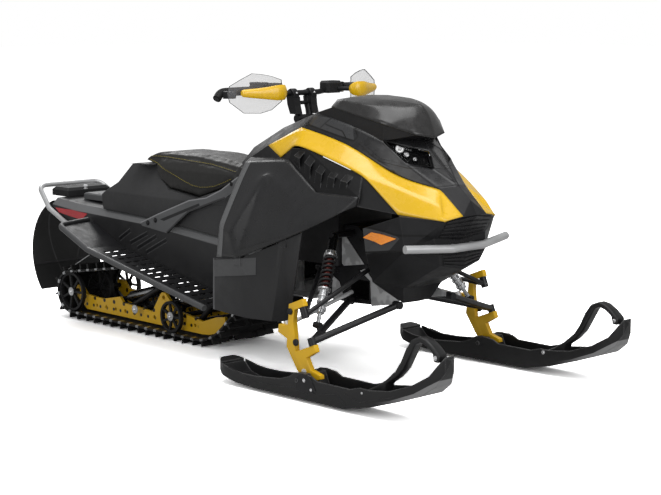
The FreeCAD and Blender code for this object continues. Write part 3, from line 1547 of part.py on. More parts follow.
def make_ski(side, word):
    """Ski with low side walls, keel runner, saddle and front loop handle."""
    y = mm("ski_y")
    half = mm("ski_width") / 2
    wall = mm("ski_wall")
    floor = 2 * mm("runner_radius")
    tail, tip, tip_z = mm("ski_tail_x"), mm("ski_tip_x"), mm("ski_tip_z")
    bolt_x, bolt_z = mm("ski_bolt_x"), mm("ski_bolt_z")
    rise_x = mm("ski_rise_x")
    lower = [
        (tail, 84), (tail + 12, 58), (tail + 50, 34),
        (tail + 130, 18), (tail + 230, floor), (rise_x, floor),
        (rise_x + 130, 40), (rise_x + 260, 80), (rise_x + 365, 116),
        (tip - 35, 156), (tip - 7, 206), (tip, tip_z - 4),
    ]
    upper = [
        (tip - 8, tip_z + 10), (tip - 34, 226), (tip - 62, 190), (tip - 130, 150), (tip - 230, 115),
        (tip - 329, 102), (tip - 379, 103), (tip - 429, 90), (bolt_x + 106, 92),
        (bolt_x + 75, 106), (bolt_x + 20, 111), (bolt_x - 12, 108), (bolt_x - 43, 88), (bolt_x - 98, 72),
        (bolt_x - 221, 61), (tail + 170, 60), (tail + 110, 65), (tail + 50, 79), (tail + 6, 94),
    ]
    solid = side_prism(lower + upper, y - half, y + half)
    hollow = [
        (tail + 40, 72), (tail + 80, 30 + wall), (tail + 130, 18 + wall), (tail + 230, floor + wall),
        (rise_x, floor + wall), (rise_x + 130, 40 + wall),
        (rise_x + 260, 80 + wall), (rise_x + 300, 94 + wall),
        (rise_x + 300, 180), (tail + 40, 180),
    ]
    solid = solid.cut(side_prism(hollow, y - half + wall, y + half - wall))
    plan = []
    steps = int(mm("ski_end_steps"))
    for end, length in ((tip, mm("ski_tip_length")), (tail, -mm("ski_tail_length"))):
        for step in range(-steps, steps + 1):
            angle = math.radians(90 * step / steps)
            x = end - length + length * math.cos(angle)
            across = half * math.copysign(abs(math.sin(angle)) ** 0.8, angle)
            plan.append(Vector(x, y + math.copysign(across, across * length), 0))
    blank = Part.Face(Part.makePolygon(plan + plan[:1])).extrude(Vector(0, 0, 2 * tip_z))
    solid = solid.common(blank)
    saddle_half = mm("spindle_wall") / 2 + mm("joint_clearance")
    cheek = [(bolt_x - 70, floor + wall - 1), (bolt_x + 60, floor + wall - 1)]
    cheek += [(bolt_x + 20, bolt_z + 22), (bolt_x - 25, bolt_z + 22)]
    low = y - half + wall - 1
    high = y + half - wall + 1
    cheeks = [side_prism(cheek, low, y - saddle_half), side_prism(cheek, y + saddle_half, high)]
    reach = Vector(0, half + 4, 0)
    bolt_place = Vector(bolt_x, y, bolt_z)
    bolt = rod(bolt_place - reach, bolt_place + reach, mm("ski_bolt_radius"))
    solid = solid.multiFuse(cheeks + [bolt])
    runner = doc.addObject("Part::Cylinder", "ski_runner_" + word)
    runner.Label = "ski_runner_" + word
    runner.setExpression("Radius", "sizes.runner_radius")
    straight = "sizes.ski_rise_x - sizes.ski_tail_x"
    runner.setExpression("Height", straight + " - sizes.runner_front_inset - sizes.runner_rear_inset")
    start = Vector(tail + mm("runner_rear_inset"), side * y, floor - mm("runner_radius"))
    runner.Placement = Placement(start, Rotation(Vector(0, 0, 1), Vector(1, 0, 0)))
    handle_half = mm("handle_width") / 2
    outer = [
        (rise_x + 50, 20), (rise_x + 62, 84), (rise_x + 110, 106),
        (rise_x + 160, 136), (rise_x + 208, 176),
        (rise_x + 236, 216), (rise_x + 258, 262), (rise_x + 286, 300),
        (rise_x + 322, 315), (rise_x + 352, 309),
        (rise_x + 385, 290), (rise_x + 418, 262), (tip - 38, 236), (tip - 66, 236),
    ]
    inner = [
        (tip - 66, 244), (rise_x + 384, 266), (rise_x + 356, 286),
        (rise_x + 326, 296), (rise_x + 304, 284),
        (rise_x + 274, 232), (rise_x + 248, 188), (rise_x + 212, 152),
        (rise_x + 170, 124), (rise_x + 150, 40),
    ]
    handle = side_prism(outer + inner, y - handle_half, y + handle_half)
    bed = solid.copy()
    bed.translate(Vector(0, 0, mm("seat_gap")))
    handle = max(handle.cut(bed).Solids, key=lambda piece: piece.Volume)
    if side < 0:
        solid, handle = mirrored(solid), mirrored(handle)
    node("ski_" + word, solid)
    node("ski_handle_" + word, handle)


def make_tie_rods():
    """Steering rods from the front frame to the uprights."""
    for side, word in ((-1, "right"), (1, "left")):
        outer = at("tie_rod_outer", side)
        bar = rod(at("tie_rod_inner", side), outer, mm("tie_rod_radius"))
        face_y = mm("ski_y") - mm("spindle_wall") / 2
        up = (at("kingpin_top", side) - at("kingpin_foot", side)).normalize() * (mm("tie_rod_eye") / 2)
        eye = rod(outer - up, outer + up, face_y - mm("joint_gap") - at("tie_rod_outer", 1).y)
        node("tie_rod_" + word, bar.fuse(eye))


def make_handlebar():
    """Post, risers and bar, with grips, hand guards and controls."""
    base, axis = steering_axis()
    post = rod(base - axis * mm("post_length"), base + axis * 12, mm("post_radius"))
    half = [at("bar_shoulder", 1), at("grip_inner", 1), at("bar_end", 1), at("bar_hook", 1)]
    other = [Vector(p.x, -p.y, p.z) for p in half]
    points = other[::-1] + half
    bar = tube(points, mm("bar_radius"), mm("bar_bend"))
    risers = [post, bar]
    for side in (-1, 1):
        y = side * mm("riser_y")
        head = base + Vector(0, y * 1.5, 0) + axis * mm("riser_height")
        risers.append(rod(base + Vector(0, y, 0), head, mm("riser_radius")))
    risers.append(rod(base + Vector(0, -45, 0), base + Vector(0, 45, 0), 17))
    inner, end = at("grip_inner", 1), at("bar_end", 1)
    clamp, knee, wide, narrow = (at("guard_" + name, 1) for name in ("clamp", "knee", "wide", "narrow"))
    shield_start, shield_end = at("shield_inner", 1), at("shield_outer", 1)
    wall, gap = mm("guard_wall"), mm("seat_gap")
    first = knee.x - clamp.x
    second = math.hypot(wide.x - knee.x, wide.y - knee.y)
    third = math.hypot(narrow.x - wide.x, narrow.y - wide.y)
    arm = standing_plate(clamp, knee, [(0, 12), (first, 27), (first, -27), (0, -12)], wall)
    corner = standing_plate(knee, wide, [(0, 25), (second, 31), (second, -29), (0, -29)], wall)
    bracket = [(0, 30), (third * 0.2, 27), (third * 0.55, 20), (third, 13), (third + 6, 4), (third, -14)]
    bracket += [(third * 0.4, -24), (0, -30)]
    front = standing_plate(wide, narrow, bracket, wall)
    run = (shield_end - shield_start).normalize()
    back = Vector(-run.y, run.x, 0)
    length = (shield_end - shield_start).Length
    studs = []
    for share in (0.3, 0.72):
        foot = shield_start + run * (length * share) - back * gap
        studs.append(rod(foot, foot - back * mm("stud_length"), mm("link_radius")))
    floor = [Vector(p.x, p.y, 0) for p in (knee, wide, narrow, shield_end, shield_start)]
    room = Part.Face(Part.makePolygon(floor + floor[:1])).extrude(Vector(0, 0, 2 * wide.z))
    plate = arm.multiFuse([corner, front] + [stud.common(room) for stud in studs])
    outline = outline_of("shield_top") + [(length, mm("shield_tip_top")), (length + mm("shield_tip"), 0)]
    outline += [(length, mm("shield_tip_low"))] + outline_of("shield_low")
    shield = standing_plate(shield_start, shield_end, outline, mm("shield_wall"))
    shifted = shield.copy()
    shifted.translate(back * gap)
    link = rod(end, shield_start + run * (length * 0.9), mm("link_radius"))
    link = link.cut(shield).cut(shifted)
    link = min(link.Solids, key=lambda solid: solid.CenterOfMass.distanceToPoint(end))
    risers += [link, mirrored(link)]
    node("handlebar", risers[0].multiFuse(risers[1:]))
    line = (end - inner).normalize()
    start = end - line * (mm("bar_bend") * 0.5 + mm("grip_length"))
    hook = at("bar_hook", 1)
    tail = (hook - end).normalize()
    sleeve = tube([start, end, hook - tail * 2], mm("grip_radius"), mm("bar_bend"))
    hole = tube([start - line, end, hook + tail], mm("bar_radius") + mm("press_gap"), mm("bar_bend"))
    node("grips", both(sleeve.cut(hole)))
    node("guard_brackets", both(plate))
    node("guard_shields", both(shield))
    shoulder = at("bar_shoulder", 1)
    depth, width, height = mm("control_depth"), mm("control_width"), mm("control_height")
    low = Vector(clamp.x - gap - depth, clamp.y - width * 0.6, clamp.z - height * 0.45)
    controls = Part.makeBox(depth, width, height, low)
    controls = controls.makeChamfer(8, controls.Edges[:])
    controls = controls.cut(rod(shoulder, inner, mm("bar_radius") + mm("press_gap")))
    node("controls", both(controls))


wheel_axles = make_idler_wheels()
make_track()
make_slide_rails(wheel_axles)
make_skid()
make_drive_axle()
make_tunnel()
make_running_board(-1, "right")
make_running_board(1, "left")
make_rear_end()
make_seat()
make_seat_base()
make_braces()
make_console()
make_over_frame()
make_fairings()
hood_shape = make_hood()
make_lamps(hood_shape)
nose_shape = make_nose()
belly_shape = make_belly_pan()
make_side_panels()
make_side_vents()
make_windscreen()
make_front_bumper(nose_shape, belly_shape)
make_markers(nose_shape)
make_frame_and_engine()
make_suspension()
for side, word in ((-1, "right"), (1, "left")):
    make_spindle(side, word)
    make_ski(side, word)
make_tie_rods()
make_handlebar()

doc.recompute()
written = ("PartDesign::Body", "Part::Feature", "Part::Box", "Part::Cylinder")
for piece in doc.Objects:
    if "Invalid" in piece.State or "Error" in piece.State:
        raise ValueError("%s failed: %s" % (piece.Label, piece.State))
    if piece.TypeId in written and (piece.Shape.isNull() or not piece.Shape.isValid()):
        raise ValueError("%s has no valid shape" % piece.Label)
os.makedirs("parts", exist_ok=True)
for piece in doc.Objects:
    if piece.TypeId in written:
        piece.Shape.exportStep("parts/%s.step" % piece.Label)
        print(piece.Label, round(piece.Shape.Volume))
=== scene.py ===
import math

import bmesh
import bpy
from mathutils import Matrix, Vector
from mathutils.bvhtree import BVHTree


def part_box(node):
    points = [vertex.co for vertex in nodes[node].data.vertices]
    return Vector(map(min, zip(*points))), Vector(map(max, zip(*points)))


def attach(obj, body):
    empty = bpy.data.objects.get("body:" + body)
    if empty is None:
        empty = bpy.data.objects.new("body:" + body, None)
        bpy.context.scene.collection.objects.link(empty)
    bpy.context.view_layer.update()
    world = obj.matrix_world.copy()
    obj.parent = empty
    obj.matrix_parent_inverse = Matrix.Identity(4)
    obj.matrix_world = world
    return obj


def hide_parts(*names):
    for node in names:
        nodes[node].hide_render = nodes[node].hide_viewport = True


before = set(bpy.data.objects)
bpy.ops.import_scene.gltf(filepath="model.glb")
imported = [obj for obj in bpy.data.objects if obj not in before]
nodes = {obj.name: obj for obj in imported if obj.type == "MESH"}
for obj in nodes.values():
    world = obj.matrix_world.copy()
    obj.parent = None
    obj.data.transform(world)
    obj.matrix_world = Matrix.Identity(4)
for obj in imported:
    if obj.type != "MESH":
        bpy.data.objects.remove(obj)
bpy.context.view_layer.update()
scene = bpy.context.scene
scene.view_settings.view_transform = "Standard"

# Shapes and painted outlines below are in millimetres, and Blender's own units are metres
MM = 0.001
SIDES = ((-1, "right"), (1, "left"))

# Camera at the photograph's angle
CAMERA_PLACE = (5.361, -4.870, 1.467)
CAMERA_BACK = (0.7097, -0.6904, 0.1407)
back = Vector(CAMERA_BACK).normalized()
side_way = Vector((0, 0, 1)).cross(back).normalized()
turn = Matrix((side_way, back.cross(side_way), back)).transposed().to_4x4()
camera_data = bpy.data.cameras.new("camera")
camera_data.lens = 95.2
camera_data.sensor_width = 36
camera = bpy.data.objects.new("camera", camera_data)
camera.matrix_world = Matrix.Translation(CAMERA_PLACE) @ turn
scene.collection.objects.link(camera)
scene.camera = camera


# Materials; a painted edge goes over in twice this width
EDGE_SOFT = 0.6


class Tree:
    """A material or world whose node tree is built up one node at a time."""

    def __init__(self, name, kind="materials"):
        self.owner = getattr(bpy.data, kind).new(name)
        self.owner.use_nodes = True
        self.nodes = self.owner.node_tree.nodes
        self.links = self.owner.node_tree.links
        self.shader = self.nodes.get("Principled BSDF") or self.nodes["Background"]
        self.place = self.add("ShaderNodeTexCoord").outputs["Object"]
        self.axes = {}

    def add(self, kind, **values):
        """Adds a node; each value goes to its setting or else its socket of that name."""
        made = self.nodes.new(kind)
        for key, value in values.items():
            if hasattr(made, key):
                setattr(made, key, value)
            else:
                self.join(value, made.inputs[key])
        return made

    def join(self, value, socket):
        if hasattr(value, "is_output"):
            self.links.new(value, socket)
        else:
            socket.default_value = value

    def math(self, operation, *values):
        made = self.add("ShaderNodeMath", operation=operation)
        for value, socket in zip(values, made.inputs):
            self.join(value, socket)
        return made.outputs[0]

    def chain(self, operation, masks):
        total = masks[0]
        for mask in masks[1:]:
            total = self.math(operation, total, mask)
        return total

    def both(self, *masks):
        return self.chain("MULTIPLY", masks)

    def either(self, *masks):
        return self.chain("MAXIMUM", masks)

    def axis(self, name):
        """The place along X, Y or Z in metres, or A for the distance from the middle plane."""
        if not self.axes:
            parts = self.add("ShaderNodeSeparateXYZ")
            self.join(self.place, parts.inputs[0])
            self.axes = {key: parts.outputs[key] for key in "XYZ"}
            self.axes["A"] = self.math("ABSOLUTE", self.axes["Y"])
        return self.axes[name]

    def noise(self, scale, detail):
        made = self.add("ShaderNodeTexNoise", Vector=self.place, Scale=scale, Detail=detail, Roughness=0.55)
        return made.outputs[0]

    def cells(self, scale):
        return self.add("ShaderNodeTexVoronoi", Vector=self.place, Scale=scale).outputs["Distance"]

    def spread(self, value, low, high, start=0.0, end=1.0):
        """Goes softly from start to end while the value goes from low to high."""
        made = self.add("ShaderNodeMapRange", interpolation_type="SMOOTHSTEP")
        names = ("Value", "From Min", "From Max", "To Min", "To Max")
        for item, name in zip((value, low, high, start, end), names):
            self.join(item, made.inputs[name])
        return made.outputs[0]

    def past(self, axis, low, high, start=0.0, end=1.0):
        """Goes softly from start to end between two places on an axis, in millimetres."""
        return self.spread(self.axis(axis), low * MM, high * MM, start, end)

    def before(self, axis, low, high):
        return self.past(axis, low, high, 1.0, 0.0)

    def side(self, low, high):
        """1 where the distance from the middle plane is between low and high."""
        inner = self.past("A", low - EDGE_SOFT, low + EDGE_SOFT)
        return self.both(inner, self.before("A", high - EDGE_SOFT, high + EDGE_SOFT))

    def beside(self, first, second, soft, axes="XZ"):
        """1 to the left of the line from first to second, seen in the plane of two axes."""
        run, rise = second[0] - first[0], second[1] - first[1]
        length = math.hypot(run, rise)
        left = self.both(self.axis(axes[0]), -rise / length)
        far = self.math("MULTIPLY_ADD", self.axis(axes[1]), run / length, left)
        shift = (first[0] * rise - first[1] * run) / length
        return self.spread(self.math("ADD", far, shift * MM), -soft * MM, soft * MM)

    def inside(self, corners, soft=EDGE_SOFT, axes="XZ"):
        """1 inside a convex outline, whichever way its corners run."""
        pairs = list(zip(corners, corners[1:] + corners[:1]))
        if sum(first[0] * second[1] - second[0] * first[1] for first, second in pairs) < 0:
            pairs = [(second, first) for first, second in pairs]
        return self.chain("MINIMUM", [self.beside(first, second, soft, axes) for first, second in pairs])

    def line(self, points, wide, axes="XZ"):
        """1 along a broken line of the given width."""
        parts = []
        for (x1, z1), (x2, z2) in zip(points, points[1:]):
            half = wide / 2 / math.hypot(x2 - x1, z2 - z1)
            x, z = (z2 - z1) * half, (x1 - x2) * half
            corners = [(x1 + x, z1 + z), (x2 + x, z2 + z), (x2 - x, z2 - z), (x1 - x, z1 - z)]
            parts.append(self.inside(corners, 0.5, axes))
        return self.either(*parts)

    def mix(self, share, first, second):
        made = self.add("ShaderNodeMix", data_type="RGBA")
        self.join(share, made.inputs["Factor"])
        for color, socket in ((first, made.inputs[6]), (second, made.inputs[7])):
            self.join((*color, 1.0) if isinstance(color, tuple) else color, socket)
        return made.outputs[2]

    def over(self, base, color, mask, share=1.0):
        """The base with a colour laid over it where the mask is 1."""
        return self.mix(self.both(mask, share), base, color)

    def edge_wear_and_highlight(self, base, light, reach, share):
        """Paler colour where an edge is nearer than reach, broken up by noise: edge wear on most finishes,
        and painted edge highlights on the vents and skis.
        """
        dot = self.add("ShaderNodeVectorMath", operation="DOT_PRODUCT")
        self.join(self.rounded(reach), dot.inputs[0])
        self.join(self.add("ShaderNodeNewGeometry").outputs["Normal"], dot.inputs[1])
        edge = self.spread(dot.outputs["Value"], 0.90, 0.995, share, 0.0)
        return self.over(base, light, edge, self.spread(self.noise(60.0, 4.0), 0.3, 0.6, 0.35, 1.0))

    def rounded(self, reach):
        return self.add("ShaderNodeBevel", samples=4, Radius=reach * MM).outputs[0]

    def bump(self, height, distance, strength=1.0, under=None):
        made = self.add("ShaderNodeBump", Distance=distance * MM, Strength=strength, Height=height)
        if under is not None:
            self.join(under, made.inputs["Normal"])
        return made.outputs[0]


looks = {}


def named(words):
    """Node names; a word that ends in _ stands for a right and a left node."""
    names = []
    for word in words.split():
        names += [word + "right", word + "left"] if word[-1] == "_" else [word]
    return names


def finish(name, color, rough, on="", metal=0.0, coat=0.0, tint=0.12, grain=500, depth=0.04, spread=0.08,
           rounded=0.0, specular=0.5, alpha=1.0, paint=None, relief=None):
    """A finish with mottled colour, uneven gloss, fine grain and softened edges, put on the nodes in on."""
    tree = Tree(name)
    inputs = tree.shader.inputs
    for socket, value in (("Metallic", metal), ("Coat Weight", coat), ("Coat Roughness", 0.08),
                          ("Specular IOR Level", specular), ("Alpha", alpha)):
        inputs[socket].default_value = value
    dark = tuple(part * (1 - tint) for part in color)
    light = tuple(min(1.0, part * (1 + tint)) for part in color)
    base = tree.mix(tree.spread(tree.noise(3.5, 4.0), 0.35, 0.65), dark, light)
    tree.join(paint(tree, base) if paint else base, inputs["Base Color"])
    gloss = tree.spread(tree.noise(28.0, 5.0), 0.3, 0.7, rough - spread, rough + spread)
    tree.join(gloss, inputs["Roughness"])
    under = tree.rounded(rounded) if rounded else None
    normal = tree.bump(tree.noise(grain, 2.0), depth, 1.0, under)
    tree.join(relief(tree, normal) if relief else normal, inputs["Normal"])
    looks[name] = tree.owner
    for node in named(on):
        nodes[node].data.materials.clear()
        nodes[node].data.materials.append(tree.owner)


# Painted areas are worked out from each point's own place
SCUFFED = (0.09, 0.09, 0.092)
WORN = (0.10, 0.10, 0.105)
SHEEN = (0.055, 0.056, 0.058)
# Dark colour for gaps and slots, also used as painted shade in the tunnel grooves
GAP_AND_SHADE = (0.006, 0.006, 0.007)
TUNNEL_GROOVES = [[(-784, 416), (-704, 463)], [(-706, 406), (-584, 461)], [(-656, 388), (-522, 454)],
                  [(-593, 377), (-454, 444)]]


def plastic_wear(tree, base):
    return tree.edge_wear_and_highlight(base, SCUFFED, 3, 0.5)


def edge_paint(tree, base):
    return tree.edge_wear_and_highlight(base, WORN, 4, 0.9)


def flange_paint(tree, base):
    """A paler flange along the rear edge of the side panel, with a dark line before it."""
    front = [(200, 835), (182, 730), (146, 585), (124, 440)]
    rear = [(160, 835), (142, 730), (106, 585), (86, 440)]
    strips = [tree.inside(corners) for corners in zip(front, rear, rear[1:], front[1:])]
    base = tree.over(base, (0.14, 0.142, 0.145), tree.both(tree.either(*strips), tree.side(280, 500)), 0.8)
    base = tree.over(base, (0.008, 0.008, 0.009), tree.line(front, 6))
    return tree.edge_wear_and_highlight(base, WORN, 4, 0.5)


def lower_paint(tree, base):
    """A paler rimmed band at the top of the lower panel and a worn rear edge."""
    patch = tree.inside([(322, 468), (66, 432), (66, 362), (314, 396)])
    base = tree.over(base, (0.075, 0.076, 0.078), patch, 0.75)
    base = tree.over(base, (0.010, 0.010, 0.011), tree.line([(322, 468), (314, 396), (66, 362)], 5))
    base = tree.over(base, WORN, tree.line([(64, 440), (64, 230)], 10))
    return tree.edge_wear_and_highlight(base, SCUFFED, 4, 0.5)


def nose_paint(tree, base):
    """Paler surrounds of the side markers and the gaps above and below them."""
    surround = tree.inside([(962, 592), (935, 608), (850, 628), (790, 640), (790, 520), (817, 522),
                            (918, 546)])
    base = tree.over(base, SHEEN, tree.both(surround, tree.side(200, 500)), 0.8)
    upper = tree.line([(800, 634), (850, 625), (944, 604), (1049, 606)], 8)
    lower = tree.line([(812, 528), (918, 541), (985, 545), (1062, 530)], 7)
    base = tree.over(base, (0.003, 0.003, 0.003), tree.either(upper, lower), tree.side(120, 500))
    return tree.edge_wear_and_highlight(base, (0.08, 0.08, 0.082), 3, 0.45)


def nose_relief(tree, normal):
    """A fine grille in the middle of the nose."""
    grille = tree.both(tree.side(0, 75), tree.inside([(1200, 660), (980, 660), (980, 500), (1200, 500)], 2))
    return tree.bump(tree.both(tree.spread(tree.cells(150.0), 0.2, 0.5), grille), 2, 0.8, normal)


def hood_paint(tree, base):
    """A hatch with its gaps on each side of the hood."""
    side = tree.side(150, 300)
    hatch = tree.inside([(672, 938), (648, 990), (560, 1012), (452, 1020), (438, 984)])
    base = tree.over(base, SHEEN, tree.both(hatch, side), 0.6)
    gaps = tree.either(tree.line([(438, 984), (672, 934), (684, 950), (652, 992), (566, 1012)], 6),
                       tree.line([(500, 976), (536, 1012)], 4),
                       tree.line([(520, 990), (610, 968), (640, 940)], 4))
    base = tree.over(base, (0.004, 0.004, 0.004), gaps, side)
    return tree.edge_wear_and_highlight(base, (0.10, 0.10, 0.102), 4, 0.4)


def hood_relief(tree, normal):
    crease = tree.line([(700, 930), (790, 868), (900, 846), (990, 842)], 10)
    brow = tree.line([(660, 985), (760, 962), (860, 944)], 10)
    return tree.bump(tree.either(crease, brow), 4, 0.9, normal)


def grooves_of(tree, wide):
    lines = [tree.line(groove, wide) for groove in TUNNEL_GROOVES]
    return tree.both(tree.either(*lines), tree.past("A", 190, 193))


def tunnel_paint(tree, base):
    """A paler flange along the tunnel's foot and four grooves in its side, with painted shade in them and
    painted highlights along their rims.
    """
    foot = [(130, 432), (-569, 495.5), (-1120, 514.5), (-1300, 530)]
    head = [[(130, 500), (-569, 550)], [(-569, 550), (-1120, 580)], [(-1120, 580), (-1300, 600)]]
    strips = [tree.inside([near, *top, far], 1) for near, far, top in zip(foot, foot[1:], head)]
    band = tree.both(tree.past("A", 158, 162), tree.before("A", 195.5, 196.5), tree.either(*strips))
    base = tree.over(base, (0.125, 0.127, 0.13), band, 0.85)
    # Painted highlights along the groove rims
    base = tree.over(base, (0.065, 0.066, 0.068), grooves_of(tree, 22))
    # Painted shade in the grooves
    base = tree.over(base, GAP_AND_SHADE, grooves_of(tree, 13))
    return tree.edge_wear_and_highlight(base, (0.14, 0.14, 0.145), 3, 0.4)


def tunnel_relief(tree, normal):
    return tree.bump(grooves_of(tree, 18), 6, 1.0, normal)


def brace_slot_and_edge_highlight(tree, base):
    """A slot, a painted highlight along the upper edge and a darker lower edge on the brace."""
    base = tree.over(base, GAP_AND_SHADE, tree.inside([(-489, 531), (-462, 526), (-222, 612), (-227, 622)]))
    # Painted highlight along the upper edge
    top = tree.line([(-628, 505), (-495, 557), (-293, 630), (-182, 650), (-86, 690), (20, 752)], 10)
    base = tree.over(base, (0.30, 0.30, 0.31), top, 0.7)
    low = tree.line([(-443, 475), (-354, 539), (-294, 579), (-144, 629), (-60, 656)], 14)
    return tree.over(base, (0.012, 0.012, 0.013), low, 0.8)


def board_paint(tree, base):
    return tree.mix(tree.past("A", 366, 370, 0.0, 0.9), base, (0.070, 0.071, 0.073))


def flap_foot_and_fold_highlights(tree, base):
    """A darker foot, and painted highlights along the folds across and down the flap."""
    base = tree.over(base, (0.006, 0.006, 0.006), tree.before("Z", 226, 236), 0.5)
    # Painted highlights along the folds
    fold_highlight = tree.both(tree.past("Z", 224, 230), tree.before("Z", 232, 238))
    slant_highlight = tree.line([(60, 240), (165, 560)], 6, "AZ")
    return tree.over(base, (0.055, 0.055, 0.057), tree.either(fold_highlight, slant_highlight))


def flap_relief(tree, normal):
    folds = tree.math("ADD", tree.past("Z", 222, 236), tree.beside((60, 240), (165, 560), 6, "AZ"))
    return tree.bump(folds, 10, 0.8, normal)


def ski_reflection_and_highlights(tree, base):
    """A painted reflection on the sole towards the tip and painted highlights along the rims."""
    # Painted reflection of the light on the curved sole towards the tip
    sole_reflection = tree.line([(1150, 44), (1240, 66), (1350, 108), (1450, 168)], 30)
    base = tree.over(base, (0.26, 0.26, 0.262), sole_reflection, tree.past("X", 1150, 1340, 0.0, 0.75))
    # Painted highlights along the rims
    return tree.edge_wear_and_highlight(base, (0.17, 0.17, 0.172), 6, 0.75)


def rail_paint(tree, base):
    """Two rows of dark lightening holes along the rails: height, pitch, radius and start."""
    for height, pitch, radius, start in ((74, 50, 7.5, 50.0), (108, 72, 9.5, 50.3)):
        share = tree.math("FRACT", tree.math("MULTIPLY_ADD", tree.axis("X"), 1 / (pitch * MM), start))
        across = tree.both(tree.math("SUBTRACT", share, 0.5), pitch * MM)
        up = tree.math("SUBTRACT", tree.axis("Z"), height * MM)
        away = tree.math("SQRT", tree.math("ADD", tree.both(across, across), tree.both(up, up)))
        hole = tree.spread(away, (radius - 0.8) * MM, (radius + 0.8) * MM, 1.0, 0.0)
        base = tree.over(base, (0.010, 0.008, 0.004), hole, tree.before("X", -340, -320))
    return tree.edge_wear_and_highlight(base, (0.85, 0.60, 0.10), 3, 0.5)


# Painted highlights along the edges of the louvres
def vent_edge_highlights(tree, base):
    return tree.edge_wear_and_highlight(base, (0.11, 0.11, 0.112), 4, 0.8)


def cast_shade_and_wear(tree, base):
    """Cast metal darkened in soft noise patches as painted shade of pockets, with paler worn ribs and edges.
    """
    base = tree.mix(tree.spread(tree.noise(14.0, 2.0), 0.48, 0.56, 0.0, 0.5), base, (0.10, 0.10, 0.105))
    return tree.edge_wear_and_highlight(base, (0.55, 0.55, 0.56), 4, 0.8)


def damper_paint(tree, base):
    """A dark body with a red band below it, above the bright rod."""
    red = tree.both(tree.past("Z", 386, 390), tree.before("Z", 496, 500))
    base = tree.mix(red, base, (0.10, 0.022, 0.018))
    return tree.mix(tree.past("Z", 498, 502), base, (0.018, 0.018, 0.019))


def reflector_relief(tree, normal):
    return tree.bump(tree.cells(190.0), 1.2, 0.8, normal)


def track_paint(tree, base):
    base = tree.mix(tree.spread(tree.noise(9.0, 5.0), 0.5, 0.75, 0.0, 0.35), base, (0.035, 0.033, 0.03))
    return tree.edge_wear_and_highlight(base, (0.06, 0.06, 0.06), 4, 0.5)


def grip_relief(tree, normal):
    wave = tree.add("ShaderNodeTexWave", wave_type="BANDS", bands_direction="Y", Vector=tree.place,
                    Scale=60.0)
    return tree.bump(wave.outputs[1], 1.5, 0.8, normal)


# Plastics and panels: colour, roughness, nodes, then grain scale, its depth and edge rounding in millimetres
finish("black_plastic", (0.016, 0.016, 0.017), 0.55,
       "idler_wheels drive_axle console windscreen_trim controls tail_lamp",
       grain=1400, depth=0.12, rounded=3, specular=0.22, paint=plastic_wear)
finish("ski_plastic", (0.010, 0.010, 0.0105), 0.36, "ski_ ski_handle_", grain=900, depth=0.1, rounded=5,
       specular=0.35, paint=ski_reflection_and_highlights)
finish("seat_base_plastic", (0.034, 0.034, 0.035), 0.5, "seat_base", grain=1400, depth=0.1, rounded=6,
       specular=0.3, paint=plastic_wear)
# Black louvres, darkened further as painted shade between them
finish("vent_black_and_shade", (0.005, 0.005, 0.0055), 0.45, "side_vents", grain=900, depth=0.1, rounded=3,
       specular=0.25, paint=vent_edge_highlights)
# Black lamp sockets and boxes, darkened further as painted shade in the lamp recesses
finish("socket_black_and_shade", (0.0022, 0.0022, 0.0024), 0.5, "lamp_sockets headlamps", grain=600, depth=0.1,
       specular=0.08)
finish("dark_panel", (0.016, 0.016, 0.017), 0.33, "side_panel_", depth=0.03, rounded=5,
       specular=0.42, paint=flange_paint)
finish("hood_panel", (0.014, 0.014, 0.015), 0.30, "hood", depth=0.03, rounded=4,
       specular=0.42, paint=hood_paint, relief=hood_relief)
finish("lower_panel", (0.018, 0.018, 0.019), 0.40, "lower_panel_", grain=900, depth=0.08, rounded=4,
       specular=0.35, paint=lower_paint)
finish("nose_panel", (0.010, 0.010, 0.011), 0.38, "nose belly_pan", grain=1100, depth=0.1, rounded=4,
       specular=0.26, paint=nose_paint, relief=nose_relief)
finish("yellow_panel", (0.72, 0.435, 0.007), 0.28, "fairing_ guard_brackets", coat=0.3, tint=0.03,
       grain=400, depth=0.02, rounded=5)
finish("tinted_screen", (0.017, 0.0165, 0.0165), 0.30, "windscreen", coat=0.15, grain=60, depth=0.06,
       specular=0.45)
finish("clear_guard", (0.20, 0.20, 0.21), 0.2, "guard_shields", coat=0.6, spread=0.03, grain=40, depth=0.1,
       alpha=0.24, paint=edge_paint)
finish("smoked_lens", (0.003, 0.003, 0.0035), 0.12, spread=0.03, grain=40, depth=0.1, specular=0.12,
       alpha=0.30)

# Paints and metals
finish("yellow_paint", (0.70, 0.41, 0.008), 0.36, "spindle_", tint=0.06, grain=700, depth=0.08, rounded=4)
finish("rail_paint", (0.70, 0.41, 0.008), 0.36, "slide_rail_", tint=0.06, grain=700, depth=0.08, rounded=2,
       paint=rail_paint)
finish("black_paint", (0.010, 0.010, 0.011), 0.35,
       "skid_arms over_frame lower_arms upper_arms front_springs handlebar bulkhead",
       grain=800, depth=0.06, rounded=1.5, specular=0.3)
finish("board_paint", (0.010, 0.010, 0.011), 0.40, "running_board_", grain=800, depth=0.06, rounded=1,
       specular=0.3, paint=board_paint)
finish("charcoal_paint", (0.020, 0.020, 0.021), 0.36, "tunnel", grain=600, rounded=2, specular=0.36,
       paint=tunnel_paint, relief=tunnel_relief)
finish("grey_paint", (0.085, 0.087, 0.09), 0.42, "tail_plinth", grain=700, depth=0.06, rounded=2)
finish("brace_slot_and_edge_highlight", (0.085, 0.087, 0.09), 0.42, "frame_braces", grain=700, depth=0.06, rounded=2,
       paint=brace_slot_and_edge_highlight)
finish("cast_grey", (0.46, 0.465, 0.47), 0.5, "frame_plates engine_tray", metal=0.1, grain=300, depth=0.4,
       rounded=3, paint=cast_shade_and_wear)
